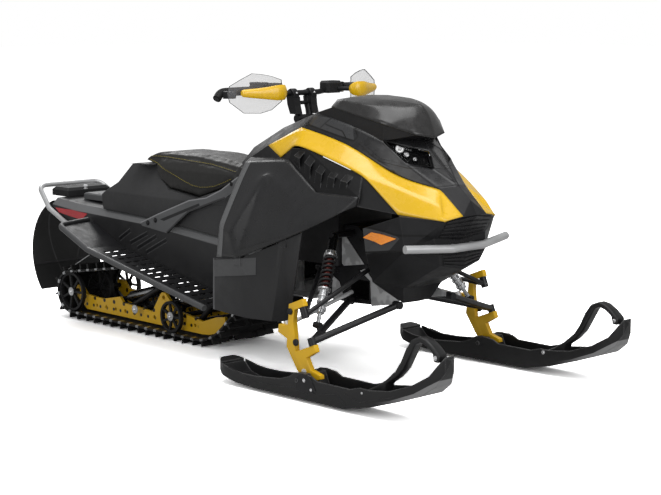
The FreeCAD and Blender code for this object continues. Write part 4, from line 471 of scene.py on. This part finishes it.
finish("engine_grey", (0.03, 0.03, 0.032), 0.55, "engine", metal=0.3, grain=200, depth=0.4)
finish("steel", (0.5, 0.51, 0.52), 0.3, "skid_dampers ski_runner_", metal=1.0, rounded=1)
finish("bright_metal", (0.72, 0.72, 0.73), 0.22, metal=0.9, rounded=0.8)
# Near-white, mostly unmetallic finish whose small pieces stand as painted glints in the headlamps
finish("glint_white", (0.9, 0.9, 0.92), 0.2, metal=0.3)
finish("damper_metal", (0.55, 0.56, 0.57), 0.25, "front_dampers", metal=0.9, paint=damper_paint)
finish("silver_tube", (0.50, 0.505, 0.51), 0.34, "rear_bumper front_bumper tie_rod_", metal=0.45,
       spread=0.03, grain=600, depth=0.03)

# Rubber, seat cover and lenses
finish("track_rubber", (0.012, 0.012, 0.012), 0.6, "track", grain=250, depth=0.3, rounded=2, specular=0.3,
       paint=track_paint)
finish("flap_rubber", (0.030, 0.030, 0.030), 0.55, "snow_flap", grain=250, depth=0.2, rounded=2,
       specular=0.28, paint=flap_foot_and_fold_highlights, relief=flap_relief)
finish("grip_rubber", (0.010, 0.010, 0.010), 0.62, "grips", depth=0.2, specular=0.3, relief=grip_relief)
finish("seat_vinyl", (0.017, 0.0165, 0.0155), 0.54, "seat", grain=1600, depth=0.3, specular=0.4)
finish("seat_thread", (0.30, 0.24, 0.03), 0.6, grain=3000, depth=0.2)
finish("red_lens", (0.42, 0.010, 0.018), 0.15, "reflectors", coat=0.8, grain=260, depth=0.5,
       relief=reflector_relief)
finish("orange_lens", (0.85, 0.26, 0.01), 0.15, "side_markers", coat=0.8, grain=260, depth=0.5,
       relief=reflector_relief)


# Pieces
SHARP_ANGLE = math.radians(35)


def piece_of(name, data, look, body, smooth=False):
    """A mesh or a curve as a piece with its material, riding on a body."""
    made = bpy.data.objects.new(name, data)
    scene.collection.objects.link(made)
    data.materials.append(looks[look])
    if smooth:
        data.shade_smooth()
    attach(made, body)
    return made


def solid_of(name):
    """A node's mesh to work on, with its points joined up."""
    bm = bmesh.new()
    bm.from_mesh(nodes[name].data)
    bmesh.ops.remove_doubles(bm, verts=bm.verts, dist=0.02 * MM)
    return bm


def mesh_of(bm, name):
    mesh = bpy.data.meshes.new(name)
    bm.to_mesh(mesh)
    bm.free()
    return mesh


def modified(made, name, kind, **values):
    """Adds a modifier with the given settings."""
    modifier = made.modifiers.new(name, kind)
    for key, value in values.items():
        setattr(modifier, key, value)


def shown_places(made):
    """The places of a piece's points after its modifiers."""
    ready = made.evaluated_get(bpy.context.evaluated_depsgraph_get())
    places = [vert.co.copy() for vert in ready.to_mesh().vertices]
    ready.to_mesh_clear()
    return places


def rods(name, lines, radius, look, body, kind="NURBS", resolution=3, caps=True):
    """Round rods along lines of places."""
    curve = bpy.data.curves.new(name, "CURVE")
    curve.dimensions = "3D"
    curve.bevel_depth = radius * MM
    curve.bevel_resolution = resolution
    curve.use_fill_caps = caps
    for line in lines:
        spline = curve.splines.new(kind)
        spline.points.add(len(line) - 1)
        for item, place in zip(spline.points, line):
            item.co = (*(Vector(place) * MM), 1.0)
        if kind == "NURBS":
            spline.order_u = 3
            spline.use_endpoint_u = True
    return piece_of(name, curve, look, body)


def lofted(bm, rings):
    """Walls from ring to ring of places, closed at both ends."""
    rings = [[bm.verts.new(place) for place in ring] for ring in rings]
    for low, high in zip(rings, rings[1:]):
        for index in range(len(low)):
            bm.faces.new((low[index - 1], low[index], high[index], high[index - 1]))
    bm.faces.new(rings[0][::-1])
    bm.faces.new(rings[-1])


def around(middle, way, radius, count):
    """Places on a circle about a direction."""
    way = Vector(way).normalized()
    side = way.orthogonal().normalized()
    other = way.cross(side)
    angles = [2 * math.pi * step / count for step in range(count)]
    return [Vector(middle) + (side * math.cos(angle) + other * math.sin(angle)) * radius for angle in angles]


def turned(bm, start, way, profile, count=24):
    """Adds a solid of revolution; the profile is pairs of distance along and radius."""
    way = Vector(way).normalized()
    lofted(bm, [around(Vector(start) + way * along, way, radius, count) for along, radius in profile])


def plate(bm, outline, low, high, axis="Y"):
    """A flat plate between two levels of one axis with the given outline in the other two."""
    rings = [[(a, level, b) for a, b in outline] for level in (low, high)]
    if axis == "Z":
        rings = [[(x, y, z) for x, z, y in ring] for ring in rings]
    lofted(bm, rings)


def built(name, build, look, body, smooth=False):
    """Runs a build function, in millimetres, on an empty bmesh and makes a piece of the result."""
    bm = bmesh.new()
    build(bm)
    bmesh.ops.recalc_face_normals(bm, faces=bm.faces)
    bmesh.ops.scale(bm, vec=(MM, MM, MM), verts=bm.verts)
    mesh = mesh_of(bm, name)
    made = piece_of(name, mesh, look, body, smooth)
    if smooth:
        mesh.set_sharp_from_angle(angle=SHARP_ANGLE)
    return made


def turnings(name, parts, look, body, smooth=True):
    """A piece of solids of revolution; each part has what turned takes."""
    def build(bm):
        for part in parts:
            turned(bm, *part)
    built(name, build, look, body, smooth)


def bolts(name, body, places, look, washer=1.5):
    """Hexagon bolt heads with washers; each place is a point, a direction and a head radius."""
    parts = []
    for place, way, r in places:
        parts.append((place, way, [(-1, r * washer), (r * 0.25, r * washer)], 20))
        parts.append((place, way, [(r * 0.2, r), (r * 0.8, r), (r * 0.95, r * 0.8)], 6))
    turnings(name, parts, look, body, False)


def both_sides(places):
    """The places with their mirror images."""
    return places + [((x, -y, z), (a, -b, c), radius) for (x, y, z), (a, b, c), radius in places]


# Bodywork skins: the flat facets of the frame drawn out into rounded panels
COWL = (150, 860, 620)
SKIN_WALL, INWARD, SKIN_STEPS = 4, 0.12, 4


def skin_of(name, core, look, corner_at, crease_at, crease):
    """A rounded skin through a faceted shell's outer corners; core is its rear x, front x and height."""
    rear, front, height = (value * MM for value in core)
    bm = solid_of(name)
    inner = []
    for face in bm.faces:
        middle = face.calc_center_median()
        line = Vector((min(max(middle.x, rear), front), 0, height))
        if face.normal.dot((middle - line).normalized()) < INWARD:
            inner.append(face)
    bmesh.ops.delete(bm, geom=inner, context="FACES")
    bmesh.ops.join_triangles(bm, faces=bm.faces, angle_face_threshold=math.radians(50),
                             angle_shape_threshold=math.radians(60))
    edge_layer = bm.edges.layers.float.new("crease_edge")
    corner_layer = bm.verts.layers.float.new("crease_vert")
    for edge in bm.edges:
        if edge.is_boundary:
            edge[edge_layer] = 1.0
        elif edge.calc_face_angle(0.0) > math.radians(crease_at):
            edge[edge_layer] = crease
    for vert in bm.verts:
        ends = [edge.other_vert(vert).co - vert.co for edge in vert.link_edges if edge.is_boundary]
        if len(ends) == 2 and math.degrees(math.pi - ends[0].angle(ends[1])) > corner_at:
            vert[corner_layer] = 1.0
    mesh = mesh_of(bm, name + "_skin")
    made = piece_of(name + "_skin", mesh, look, "chassis", True)
    modified(made, "rounding", "SUBSURF", levels=3, render_levels=3)
    goal = [vert.co.copy() for vert in mesh.vertices]
    for step in range(SKIN_STEPS):
        bpy.context.view_layer.update()
        for vert, wanted, shown in zip(mesh.vertices, goal, shown_places(made)):
            vert.co += wanted - shown
        mesh.update()
    modified(made, "wall", "SOLIDIFY", thickness=SKIN_WALL * MM, offset=-1.0)
    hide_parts(name)


skin_of("windscreen", (600, 800, 940), "tinted_screen", 30.0, 26.0, 0.75)
skin_of("hood", COWL, "hood_panel", 30.0, 34.0, 0.65)
for _, word in SIDES:
    skin_of("fairing_" + word, COWL, "yellow_panel", 30.0, 30.0, 0.5)
    skin_of("side_panel_" + word, COWL, "dark_panel", 18.0, 16.0, 0.85)


# Moulded and cast pieces with their corners rounded off
def softened(name, body, look, width, segments=3):
    bm = solid_of(name)
    bmesh.ops.dissolve_limit(bm, angle_limit=math.radians(0.6), verts=bm.verts, edges=bm.edges)
    made = piece_of(name + "_soft", mesh_of(bm, name + "_soft"), look, body, True)
    modified(made, "rounding", "BEVEL", width=width * MM, segments=segments, limit_method="ANGLE",
             angle_limit=math.radians(20), harden_normals=True)
    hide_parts(name)


for _, word in SIDES:
    softened("ski_" + word, "ski_" + word, "ski_plastic", 12, 4)
    softened("ski_handle_" + word, "ski_" + word, "ski_plastic", 7)
    softened("spindle_" + word, "spindle_" + word, "yellow_paint", 5)
    softened("lower_panel_" + word, "chassis", "lower_panel", 10)
softened("seat_base", "chassis", "seat_base_plastic", 14, 4)
softened("console", "chassis", "black_plastic", 8)

# Seat: padded vinyl pumped up in a cloth simulation, then piped and stitched
CLOTH_FRAMES, PUFF, SEAT_MIDDLE = 20, 6 * MM, (-300, 0, 735)
STITCH, STITCH_STEP = [(0, 0.5), (1, 1.1), (6, 1.1), (7, 0.5)], 3.5


def applied(made, name, kind, **values):
    modified(made, name, kind, **values)
    bpy.ops.object.modifier_apply(modifier=name)


def pumped(made):
    """Where the points of a piece go as cloth under pressure, no further than the puff."""
    start = [vert.co.copy() for vert in made.data.vertices]
    modified(made, "cloth", "CLOTH")
    cloth = made.modifiers["cloth"]
    settings = cloth.settings
    settings.use_pressure = True
    settings.uniform_pressure_force = 4.0
    settings.quality = 4
    settings.bending_stiffness = 12.0
    settings.tension_stiffness = settings.compression_stiffness = 40.0
    settings.effector_weights.gravity = 0.0
    cloth.point_cache.frame_start = 1
    cloth.point_cache.frame_end = CLOTH_FRAMES
    for step in range(1, CLOTH_FRAMES + 1):
        scene.frame_set(step)
    ends = shown_places(made)
    made.modifiers.remove(cloth)
    scene.frame_set(1)
    for vert, first, last in zip(made.data.vertices, start, ends):
        move = last - first
        if move.length > PUFF:
            move *= PUFF / move.length
        vert.co = first + move


def seat_cushion():
    made = bpy.data.objects.new("seat_cushion", mesh_of(solid_of("seat"), "seat_cushion"))
    scene.collection.objects.link(made)
    bpy.context.view_layer.objects.active = made
    made.select_set(True)
    applied(made, "remesh", "REMESH", mode="VOXEL", voxel_size=5 * MM)
    applied(made, "ease", "SMOOTH", factor=0.5, iterations=2)
    middle = Vector(SEAT_MIDDLE) * MM
    for vert in made.data.vertices:
        vert.co = middle + (vert.co - middle) * 0.99
    pumped(made)
    limits = list(zip(*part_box("seat")))
    for vert in made.data.vertices:
        vert.co = [min(max(value, low), high) for value, (low, high) in zip(vert.co, limits)]
    applied(made, "ease", "SMOOTH", factor=0.5, iterations=4)
    applied(made, "finer", "SUBSURF", levels=1, render_levels=1)
    made.select_set(False)
    made.data.shade_smooth()
    made.data.materials.append(looks["seat_vinyl"])
    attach(made, "chassis")
    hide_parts("seat")
    return made.data


cushion = seat_cushion()
cushion_tree = BVHTree.FromPolygons([vert.co for vert in cushion.vertices],
                                    [tuple(face.vertices) for face in cushion.polygons])


def on_cushion(points, side):
    """Places and facings on one side of the cushion along a line of x and z, close together."""
    found = []
    for (x1, z1), (x2, z2) in zip(points, points[1:]):
        count = max(2, int(math.hypot(x2 - x1, z2 - z1) / STITCH_STEP))
        for step in range(count):
            x, z = x1 + (x2 - x1) * step / count, z1 + (z2 - z1) * step / count
            start = Vector((x, side * 400, z)) * MM
            place, normal, _, _ = cushion_tree.ray_cast(start, Vector((0, -side, 0)))
            if place is not None:
                found.append((place / MM, normal))
    return found


def seam(name, points, side):
    """A piped seam with a row of stitches just above it."""
    line = on_cushion(points, side)
    piping = [place + normal * 0.4 for place, normal in line[::4]]
    rods(name + "_piping", [piping], 1.6, "seat_vinyl", "chassis")
    stitches = []
    for (place, normal), (after, _) in list(zip(line, line[2:]))[::3]:
        way = (after - place).normalized()
        start = place + normal.cross(way).normalized() * 4.5 + normal * 0.4
        stitches.append((start, way, STITCH, 5))
    turnings(name + "_stitches", stitches, "seat_thread", "chassis", False)


LOW_SEAM = [(-638, 772), (-575, 755), (-519, 737), (-449, 716), (-396, 699), (-336, 682), (-284, 677),
            (-232, 681), (-186, 689), (-122, 711), (-71, 731)]
TOP_SEAM = [(-640, 786), (-543, 789), (-473, 787), (-384, 784), (-304, 781), (-224, 777), (-141, 768),
            (-60, 756)]
for side, word in SIDES:
    seam("low_seam_" + word, LOW_SEAM, side)
    seam("top_seam_" + word, TOP_SEAM, side)

# Front dampers: wound springs, alloy caps and rings on the struts
SHOCK_TOP, SHOCK_FOOT = Vector((618, 236, 572)), Vector((726, 428, 262))
SPRING_RADIUS, SPRING_WIRE, SPRING_TURNS, TURN_STEPS = 21.2, 5.6, 7, 12
# Share of the way up the strut and profile of each ring
DAMPER_RINGS = [(0.745, [(0, 20), (2, 26.2), (10, 26.2), (13, 23.5), (24, 22.5), (28, 19)]),
                (0.372, [(0, 18), (3, 25.5), (9, 25.5), (11, 19)]),
                (0.30, [(0, 17.5), (1, 20), (7, 20), (8, 17.5)]),
                (0.24, [(0, 17.5), (1, 20.5), (9, 20.5), (10, 17.5)]),
                (0.155, [(0, 17.5), (2, 21.5), (12, 21.5), (14, 17.5)])]


def strut_point(share, side):
    place = SHOCK_FOOT.lerp(SHOCK_TOP, share)
    return Vector((place.x, side * place.y, place.z))


def strut_way(side):
    return strut_point(1, side) - strut_point(0, side)


def coil(side):
    start, stop = strut_point(0.40, side), strut_point(0.745, side)
    count = SPRING_TURNS * TURN_STEPS
    line = []
    for step in range(count + 1):
        circle = around(start.lerp(stop, step / count), stop - start, SPRING_RADIUS, TURN_STEPS)
        line.append(circle[step % TURN_STEPS])
    return line


springs = rods("wound_springs", [coil(-1), coil(1)], SPRING_WIRE, "black_paint", "chassis")
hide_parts("front_springs")
turnings("damper_rings", [(strut_point(share, side), strut_way(side), profile, 32)
                          for side in (-1, 1) for share, profile in DAMPER_RINGS], "bright_metal", "chassis")
turnings("ring_knurls", [(place, strut_way(side), [(-2, 0.9), (2, 0.9)], 5) for side in (-1, 1)
                         for share in (0.762, 0.384)
                         for place in around(strut_point(share, side), strut_way(side), 25.5, 18)],
         "black_paint", "chassis", False)


# Headlamps: projector cups, ribs and a smoked cover over each recess
def loose_discs(name):
    """Centre, facing and radius of each loose disc in a node."""
    bm = solid_of(name)
    left = set(bm.verts)
    found = []
    for seed in bm.verts:
        if seed not in left:
            continue
        left.remove(seed)
        group = [seed]
        for vert in group:
            near = [edge.other_vert(vert) for edge in vert.link_edges]
            group += [other for other in near if other in left]
            left.difference_update(near)
        faces = [face for vert in group for face in vert.link_faces]
        largest = max(faces, key=lambda face: face.calc_area())
        normal = largest.normal if largest.normal.x > 0 else -largest.normal
        middle = sum((vert.co for vert in group), Vector()) / len(group)
        off = [vert.co - middle for vert in group]
        front = max(place.dot(normal) for place in off)
        radius = max((place - normal * place.dot(normal)).length for place in off)
        found.append(((middle + normal * front) / MM, normal.copy(), radius / MM))
    bm.free()
    return found


# Distance along in millimetres and share of the lens radius
CUP = [(0.1, 0.78), (2.2, 0.70), (3.0, 0.55), (1.2, 0.50), (1.2, 0.30), (3.6, 0.26)]
turnings("lamp_cups", [(place, normal, [(along, radius * share) for along, share in CUP], 36)
                       for place, normal, radius in loose_discs("headlamps")], "bright_metal", "chassis")
EYE = [Vector((786, 144, 938)), Vector((885, 130, 862)), Vector((942, 38, 838)), Vector((925, 38, 903))]


def projector(side):
    """A ringed projector and four reflector ribs beside it, near-white as painted glints in the headlamp."""
    place, way = Vector((834, side * 102.5, 909.5)), (0.82, side * 0.52, 0.2)
    parts = [(place, way, [(-4, 16.5), (2, 16.5), (3, 14.5), (-1, 13)], 28),
             (place, way, [(-2, 8.5), (2, 7.5), (4, 4.5), (4.5, 1)], 20)]
    for step in range(4):
        foot = place + Vector((11.5 + 5.5 * step, -side * (15 + 5.5 * step), 6 - 3.5 * step))
        parts.append((foot, (0.3, side * 0.2, 1), [(-8.5 + 1.2 * step, 1.1), (5.5 - 1.2 * step, 1.6)], 6))
    return parts


def lamp_covers(bm):
    """A faceted lens that closes each recess."""
    middle = sum(EYE, Vector()) / 4
    for side in (-1, 1):
        corners = [middle.lerp(corner, 0.93) - Vector((3.5, 0, 1.5)) for corner in EYE]
        corners = [Vector((place.x, side * place.y, place.z)) for place in corners]
        crown = bm.verts.new(sum(corners, Vector()) / 4 + Vector((4, side * 2, 2)))
        rim = []
        for first, second in zip(corners, corners[1:] + corners[:1]):
            rim += [bm.verts.new(first), bm.verts.new(first.lerp(second, 0.5))]
        for first, second in zip(rim, rim[1:] + rim[:1]):
            bm.faces.new((first, second, crown))


# Projectors and ribs in a near-white finish, as painted glints
turnings("lamp_projectors", projector(-1) + projector(1), "glint_white", "chassis")
built("lamp_covers", lamp_covers, "smoked_lens", "chassis", True)

# Handlebar fittings: clamps on the riser, reservoir, levers, guard mounts and switches
RISER = [(184, 1008), (224, 1008), (214, 1042), (210, 1077), (163, 1077), (168, 1046)]
GUARD_MOUNT = [(150, 1080), (150, 1106), (196, 1109), (206, 1096), (200, 1082)]
THROTTLE = [(196, -205), (214, -214), (205, -262), (183, -312), (174, -309), (190, -262)]
BRAKE = [(196, 205), (190, 262), (182, 352), (192, 356), (205, 262), (214, 214)]
RESERVOIR = [Vector(corner) for corner in ((170, -226), (232, -216), (226, -258), (166, -268))]


def riser_plates(bm):
    for side in (-1, 1):
        plate(bm, RISER, side * 30, side * 62)
    turned(bm, (190, -34, 1052), (0, 1, 0), [(0, 8), (68, 8)], 16)


def clamp_caps(bm):
    """A half-round cap with feet over the bar on each riser, with narrower ends."""
    for side in (-1, 1):
        rings = []
        for across, radius in ((34, 16.5), (37, 19), (61, 19), (64, 16.5)):
            angles = [math.pi * (1 - step / 10) for step in range(11)]
            outline = [(-radius - 7, -16), (-radius - 7, 1)]
            outline += [(math.cos(angle) * radius, math.sin(angle) * radius) for angle in angles]
            outline += [(radius + 7, 1), (radius + 7, -16)]
            rings.append([(186 + x, side * across, 1091.5 + z) for x, z in outline])
        lofted(bm, rings)


def reservoir(bm):
    """A box with rounded corners under a wider lid."""
    middle = sum(RESERVOIR, Vector((0, 0))) / 4
    outline = []
    for before, here, after in zip(RESERVOIR[-1:] + RESERVOIR, RESERVOIR, RESERVOIR[1:] + RESERVOIR[:1]):
        for step in range(5):
            share = 0.14 * step / 4
            outline.append(here + (before - here) * (0.14 - share) + (after - here) * share)
    levels = ((1118, 0.92), (1133, 1), (1133.5, 1.05), (1140, 1.05), (1142, 0.97))
    rings = []
    for height, grow in levels:
        rings.append([(*(middle + (place - middle) * grow), height) for place in outline])
    lofted(bm, rings)


def lever(outline, low, pivot):
    """A flat lever with its round pivot."""
    def build(bm):
        plate(bm, outline, low, low + 5, "Z")
        turned(bm, pivot, (0, 0, 1), [(0, 10), (18, 10), (20, 8)], 20)
    return build


def guard_mounts(bm):
    """Blocks at the bar ends that hold the outer ends of the guards."""
    for side in (-1, 1):
        plate(bm, GUARD_MOUNT, side * 366, side * 388)


built("riser_plates", riser_plates, "black_paint", "steering")
built("bar_clamps", clamp_caps, "black_paint", "steering", True)
bolts("bar_clamp_bolts", "steering", both_sides([((162, 49, 1092.5), (0, 0, 1), 4.5),
                                                 ((210, 49, 1092.5), (0, 0, 1), 4.5)]), "bright_metal")
built("reservoir", reservoir, "black_plastic", "steering", True)
bolts("reservoir_screws", "steering", [((181, -236, 1141.5), (0, 0, 1), 2.8),
                                       ((218, -246, 1141.5), (0, 0, 1), 2.8)], "bright_metal", 1.2)
built("throttle_lever", lever(THROTTLE, 1098, (200, -212, 1090)), "black_plastic", "steering", True)
built("brake_lever", lever(BRAKE, 1096, (200, 212, 1088)), "steel", "steering", True)
built("guard_mounts", guard_mounts, "black_plastic", "steering")
FLANGE = [(-4, 14), (-2, 20.5), (4, 20.5), (6, 14)]
turnings("grip_flanges", [((161.7, side * 252, 1107.5), (-0.38, side, 0.02), FLANGE, 28)
                          for side in (-1, 1)], "grip_rubber", "steering")
turnings("switch_buttons", [((x, side * 196, z), (-1, 0, 0.15), [(-4, 5), (4, 5), (5.5, 3.5)], 14)
                            for side in (-1, 1) for x, z in ((163, 1100), (163, 1113), (167, 1124))],
         "red_lens", "steering")


# Hand guards: dark trimmed edges, bowed brackets and their arms
def sharp_edges(name):
    bm = solid_of(name)
    sharp = [edge for edge in bm.edges if edge.calc_face_angle(0.0) > math.radians(50)]
    lines = [[vert.co / MM for vert in edge.verts] for edge in sharp]
    bm.free()
    return lines


rods("guard_rims", sharp_edges("guard_shields"), 0.9, "grey_paint", "steering", "POLY", 1, False)
# Distance from the middle plane, front x, lowest and highest z
BRACKET_STATIONS = [(177, 293, 1096, 1113), (180, 295.5, 1086, 1122), (188, 302, 1079, 1130),
                    (200, 311, 1075.5, 1134.5), (220, 317, 1074.5, 1135.5), (245, 312, 1075, 1134),
                    (270, 299.4, 1078, 1129), (300, 284.5, 1081.5, 1124.5), (330, 269.7, 1085, 1121.5),
                    (350, 259.9, 1087.5, 1120), (366, 252.1, 1089.5, 1118.5), (372, 249.2, 1094, 1115)]
BRACKET_ARMS = [((215, 183, 1103), (300, 196, 1104)), ((229, 349, 1103), (252, 353, 1104))]


def bowed_brackets(bm):
    """A shell with a bowed front and a flat back through the stations."""
    for side in (-1, 1):
        rings = []
        for away, front, low, high in BRACKET_STATIONS:
            ring = []
            for step in range(-4, 5):
                height = low + (high - low) * (step + 4) / 8
                ring.append((front - 7 * abs(step / 4) ** 3, side * away, height))
            rings.append(ring + [(front - 12.5, side * away, z) for z in (high - 4, low + 4)])
        lofted(bm, rings)


def bracket_arms(bm):
    for side in (-1, 1):
        for foot, head in BRACKET_ARMS:
            start, stop = (Vector((x, side * y, z)) for x, y, z in (foot, head))
            turned(bm, start, stop - start, [(0, 8.5), ((stop - start).length, 8.5)], 16)


brackets = built("bowed_brackets", bowed_brackets, "yellow_panel", "steering", True)
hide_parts("guard_brackets")
built("bracket_arms", bracket_arms, "black_plastic", "steering", True)

# Track clips: pressed steel clips on both edges of the belt; each wheel is its x, z and radius
BELT = [((-1190, 129), 89.3), ((-300, 293), 260), ((-10, 318), 80.3)]
BELT_WALL, BELT_HALF, CLIPS, CLIP_HALF = 8, 178, 48, 9
# Distance across and out from the belt's edge
CLIP = [(-26, 0), (-26, 2), (-2, 2.6), (1.4, 1), (1.8, -7), (-2, -10.2), (-26, -10), (-26, -8)]


def belt_line():
    """Points on the outer face of the belt, close together."""
    turns = []
    for ((x1, z1), r1), ((x2, z2), r2) in zip(BELT, BELT[1:] + BELT[:1]):
        length = math.hypot(x2 - x1, z2 - z1)
        turns.append(math.atan2(z2 - z1, x2 - x1) - math.acos((r1 - r2) / length))
    points = []
    for index, ((x, z), radius) in enumerate(BELT):
        start, stop = turns[index - 1], turns[index]
        while stop < start:
            stop += 2 * math.pi
        reach = radius + BELT_WALL
        for step in range(33):
            angle = start + (stop - start) * step / 32
            points.append((x + math.cos(angle) * reach, z + math.sin(angle) * reach))
    return points + points[:1]


def clips(bm):
    line = belt_line()
    total = sum(math.dist(first, second) for first, second in zip(line, line[1:]))
    goals = [total * (index + 0.5) / CLIPS for index in range(CLIPS)]
    gone = 0.0
    for first, second in zip(line, line[1:]):
        span = math.dist(first, second)
        along = Vector((second[0] - first[0], 0, second[1] - first[1])).normalized()
        out = Vector((along.z, 0, -along.x))
        while goals and goals[0] <= gone + span:
            here = Vector((first[0], 0, first[1])) + along * (goals.pop(0) - gone)
            for side in (-1, 1):
                rings = []
                for half in (-CLIP_HALF, CLIP_HALF):
                    edge = here + along * half
                    rings.append([edge + Vector((0, side * (BELT_HALF + a), 0)) + out * b for a, b in CLIP])
                lofted(bm, rings)
        gone += span


built("track_clips", clips, "steel", "chassis")

# Wheels: hub caps and axle bolts
HUBS = [(-1190, 129), (-467, 106), (-715, 106)]
turnings("hub_caps", [((x, side * 168, z), (0, side, 0), [(0, 20), (3, 19), (4, 12)], 24)
                      for x, z in HUBS for side in (-1, 1)], "silver_tube", "chassis")
bolts("axle_bolts", "chassis", both_sides([((x, 171, z), (0, 1, 0), 7.5) for x, z in HUBS]), "bright_metal")

# Bolts on the frame and the spindles
bolts("brace_bolts", "chassis", both_sides([((-572, 200.5, 508), (0, 1, 0), 7.5),
                                            ((-520, 200.5, 524), (0, 1, 0), 7.5),
                                            ((-20, 200.5, 718), (0, 1, 0), 6)]), "black_paint")
for side, word in SIDES:
    place = (746, side * 516, 99)
    bolts("spindle_bolts_" + word, "spindle_" + word, [(place, (0, side, 0), 9)], "bright_metal")

# Skis: brackets, bolts, moulded ridges and creases, and the bushes above them, as x and z
SKI_BRACKET = [(758, 90), (782, 107), (820, 110), (842, 92), (865, 54), (827, 39), (761, 42)]
RIDGE = [(380, 71), (461, 56), (547, 40), (669, 42), (756, 53), (873, 44), (969, 62), (1018, 26)]
CREASE = [(1013, 570.5, 68), (1088, 570.5, 51), (1236, 570.5, 90), (1354, 562, 138)]
# Place, outward or inward facing and head radius
SKI_BOLTS = [((805, 573.5, 86), 1, 5), ((1100, 570.5, 86), 1, 3.2), ((842, 573.5, 56), 1, 4.2),
             ((1104, 439, 91), -1, 6), ((1411, 528, 252), 1, 6), ((1411, 482, 252), -1, 6)]


def ski_bracket(side):
    def build(bm):
        plate(bm, SKI_BRACKET, side * 570, side * 573.8)
    return build


for side, word in SIDES:
    ski = "ski_" + word
    built("ski_bracket_" + word, ski_bracket(side), "black_plastic", ski)
    bolts("ski_bolts_" + word, ski, [((x, side * y, z), (0, side * facing, 0), radius)
                                     for (x, y, z), facing, radius in SKI_BOLTS], "bright_metal", 1.4)
    rods("ski_ridge_" + word, [[(x, side * 570.5, z) for x, z in RIDGE]], 2.2, "black_plastic", ski, "POLY")
    rods("ski_crease_" + word, [[(x, side * y, z) for x, y, z in CREASE]], 1.8, "black_plastic", ski, "POLY")
    bushes = [((x, side * 517, z), (0, side, 0), [(-3, radius), (4, radius), (6, radius - 3)])
              for x, z, radius in ((702, 205, 13), (672, 318, 12))]
    turnings("spindle_bushes_" + word, bushes, "black_plastic", "spindle_" + word)

# Small fittings at the tail
TAIL_CABLE = [(-1305, -150, 180), (-1244, -150, 221), (-1070, -150, 310)]
KNOB = [(0, 9), (4, 9), (5, 6), (10, 6), (11, 11), (17, 11), (19, 8)]
rods("tail_cable", [TAIL_CABLE], 2.2, "silver_tube", "chassis", "POLY")
turnings("tail_knob", [((-1213, -60, 596), (0, 0, 1), KNOB, 24)], "silver_tube", "chassis")

# Stage: pale floor, white backdrop from the world, soft lamps
FLOOR_REACH = 40.0
FLOOR_BOUNCE, FLOOR_SEEN = 0.5, 2.6
WORLD_LIGHT = 0.42
floor_mesh = bpy.data.meshes.new("floor")
corners = ((-1, -1), (1, -1), (1, 1), (-1, 1))
floor_mesh.from_pydata([(x * FLOOR_REACH, y * FLOOR_REACH, 0) for x, y in corners], [], [(0, 1, 2, 3)])
floor = bpy.data.objects.new("floor", floor_mesh)
scene.collection.objects.link(floor)
pale = Tree("floor")
pale.shader.inputs["Roughness"].default_value = 0.9
pale.shader.inputs["Specular IOR Level"].default_value = 0.0
camera_ray = pale.add("ShaderNodeLightPath").outputs["Is Camera Ray"]
pale.join(pale.mix(camera_ray, (FLOOR_BOUNCE,) * 3, (FLOOR_SEEN,) * 3), pale.shader.inputs["Base Color"])
floor_mesh.materials.append(pale.owner)

sky = Tree("studio", "worlds")
scene.world = sky.owner
path = sky.add("ShaderNodeLightPath").outputs
seen = sky.math("MAXIMUM", path["Is Camera Ray"], path["Is Transmission Ray"])
sky.join(sky.math("MULTIPLY_ADD", seen, 1 - WORLD_LIGHT, WORLD_LIGHT), sky.shader.inputs["Strength"])
sky.shader.inputs["Color"].default_value = (1, 1, 1, 1)


def lamp(name, place, target, size, power):
    data = bpy.data.lights.new(name, "AREA")
    data.size = size
    data.energy = power
    made = bpy.data.objects.new(name, data)
    made.location = place
    aim = Vector(target) - Vector(place)
    made.rotation_euler = aim.to_track_quat("-Z", "Y").to_euler()
    scene.collection.objects.link(made)


lamp("key", (1.0, -0.5, 4.2), (0, 0, 0.5), 3.0, 105)
lamp("side", (1.2, -5.0, 1.9), (0, 0, 0.6), 3.0, 62)
lamp("front", (5.0, -0.5, 2.2), (0.5, 0, 0.5), 2.5, 70)
lamp("rear", (-3.5, 1.5, 3.0), (-0.5, 0, 0.5), 2.0, 60)
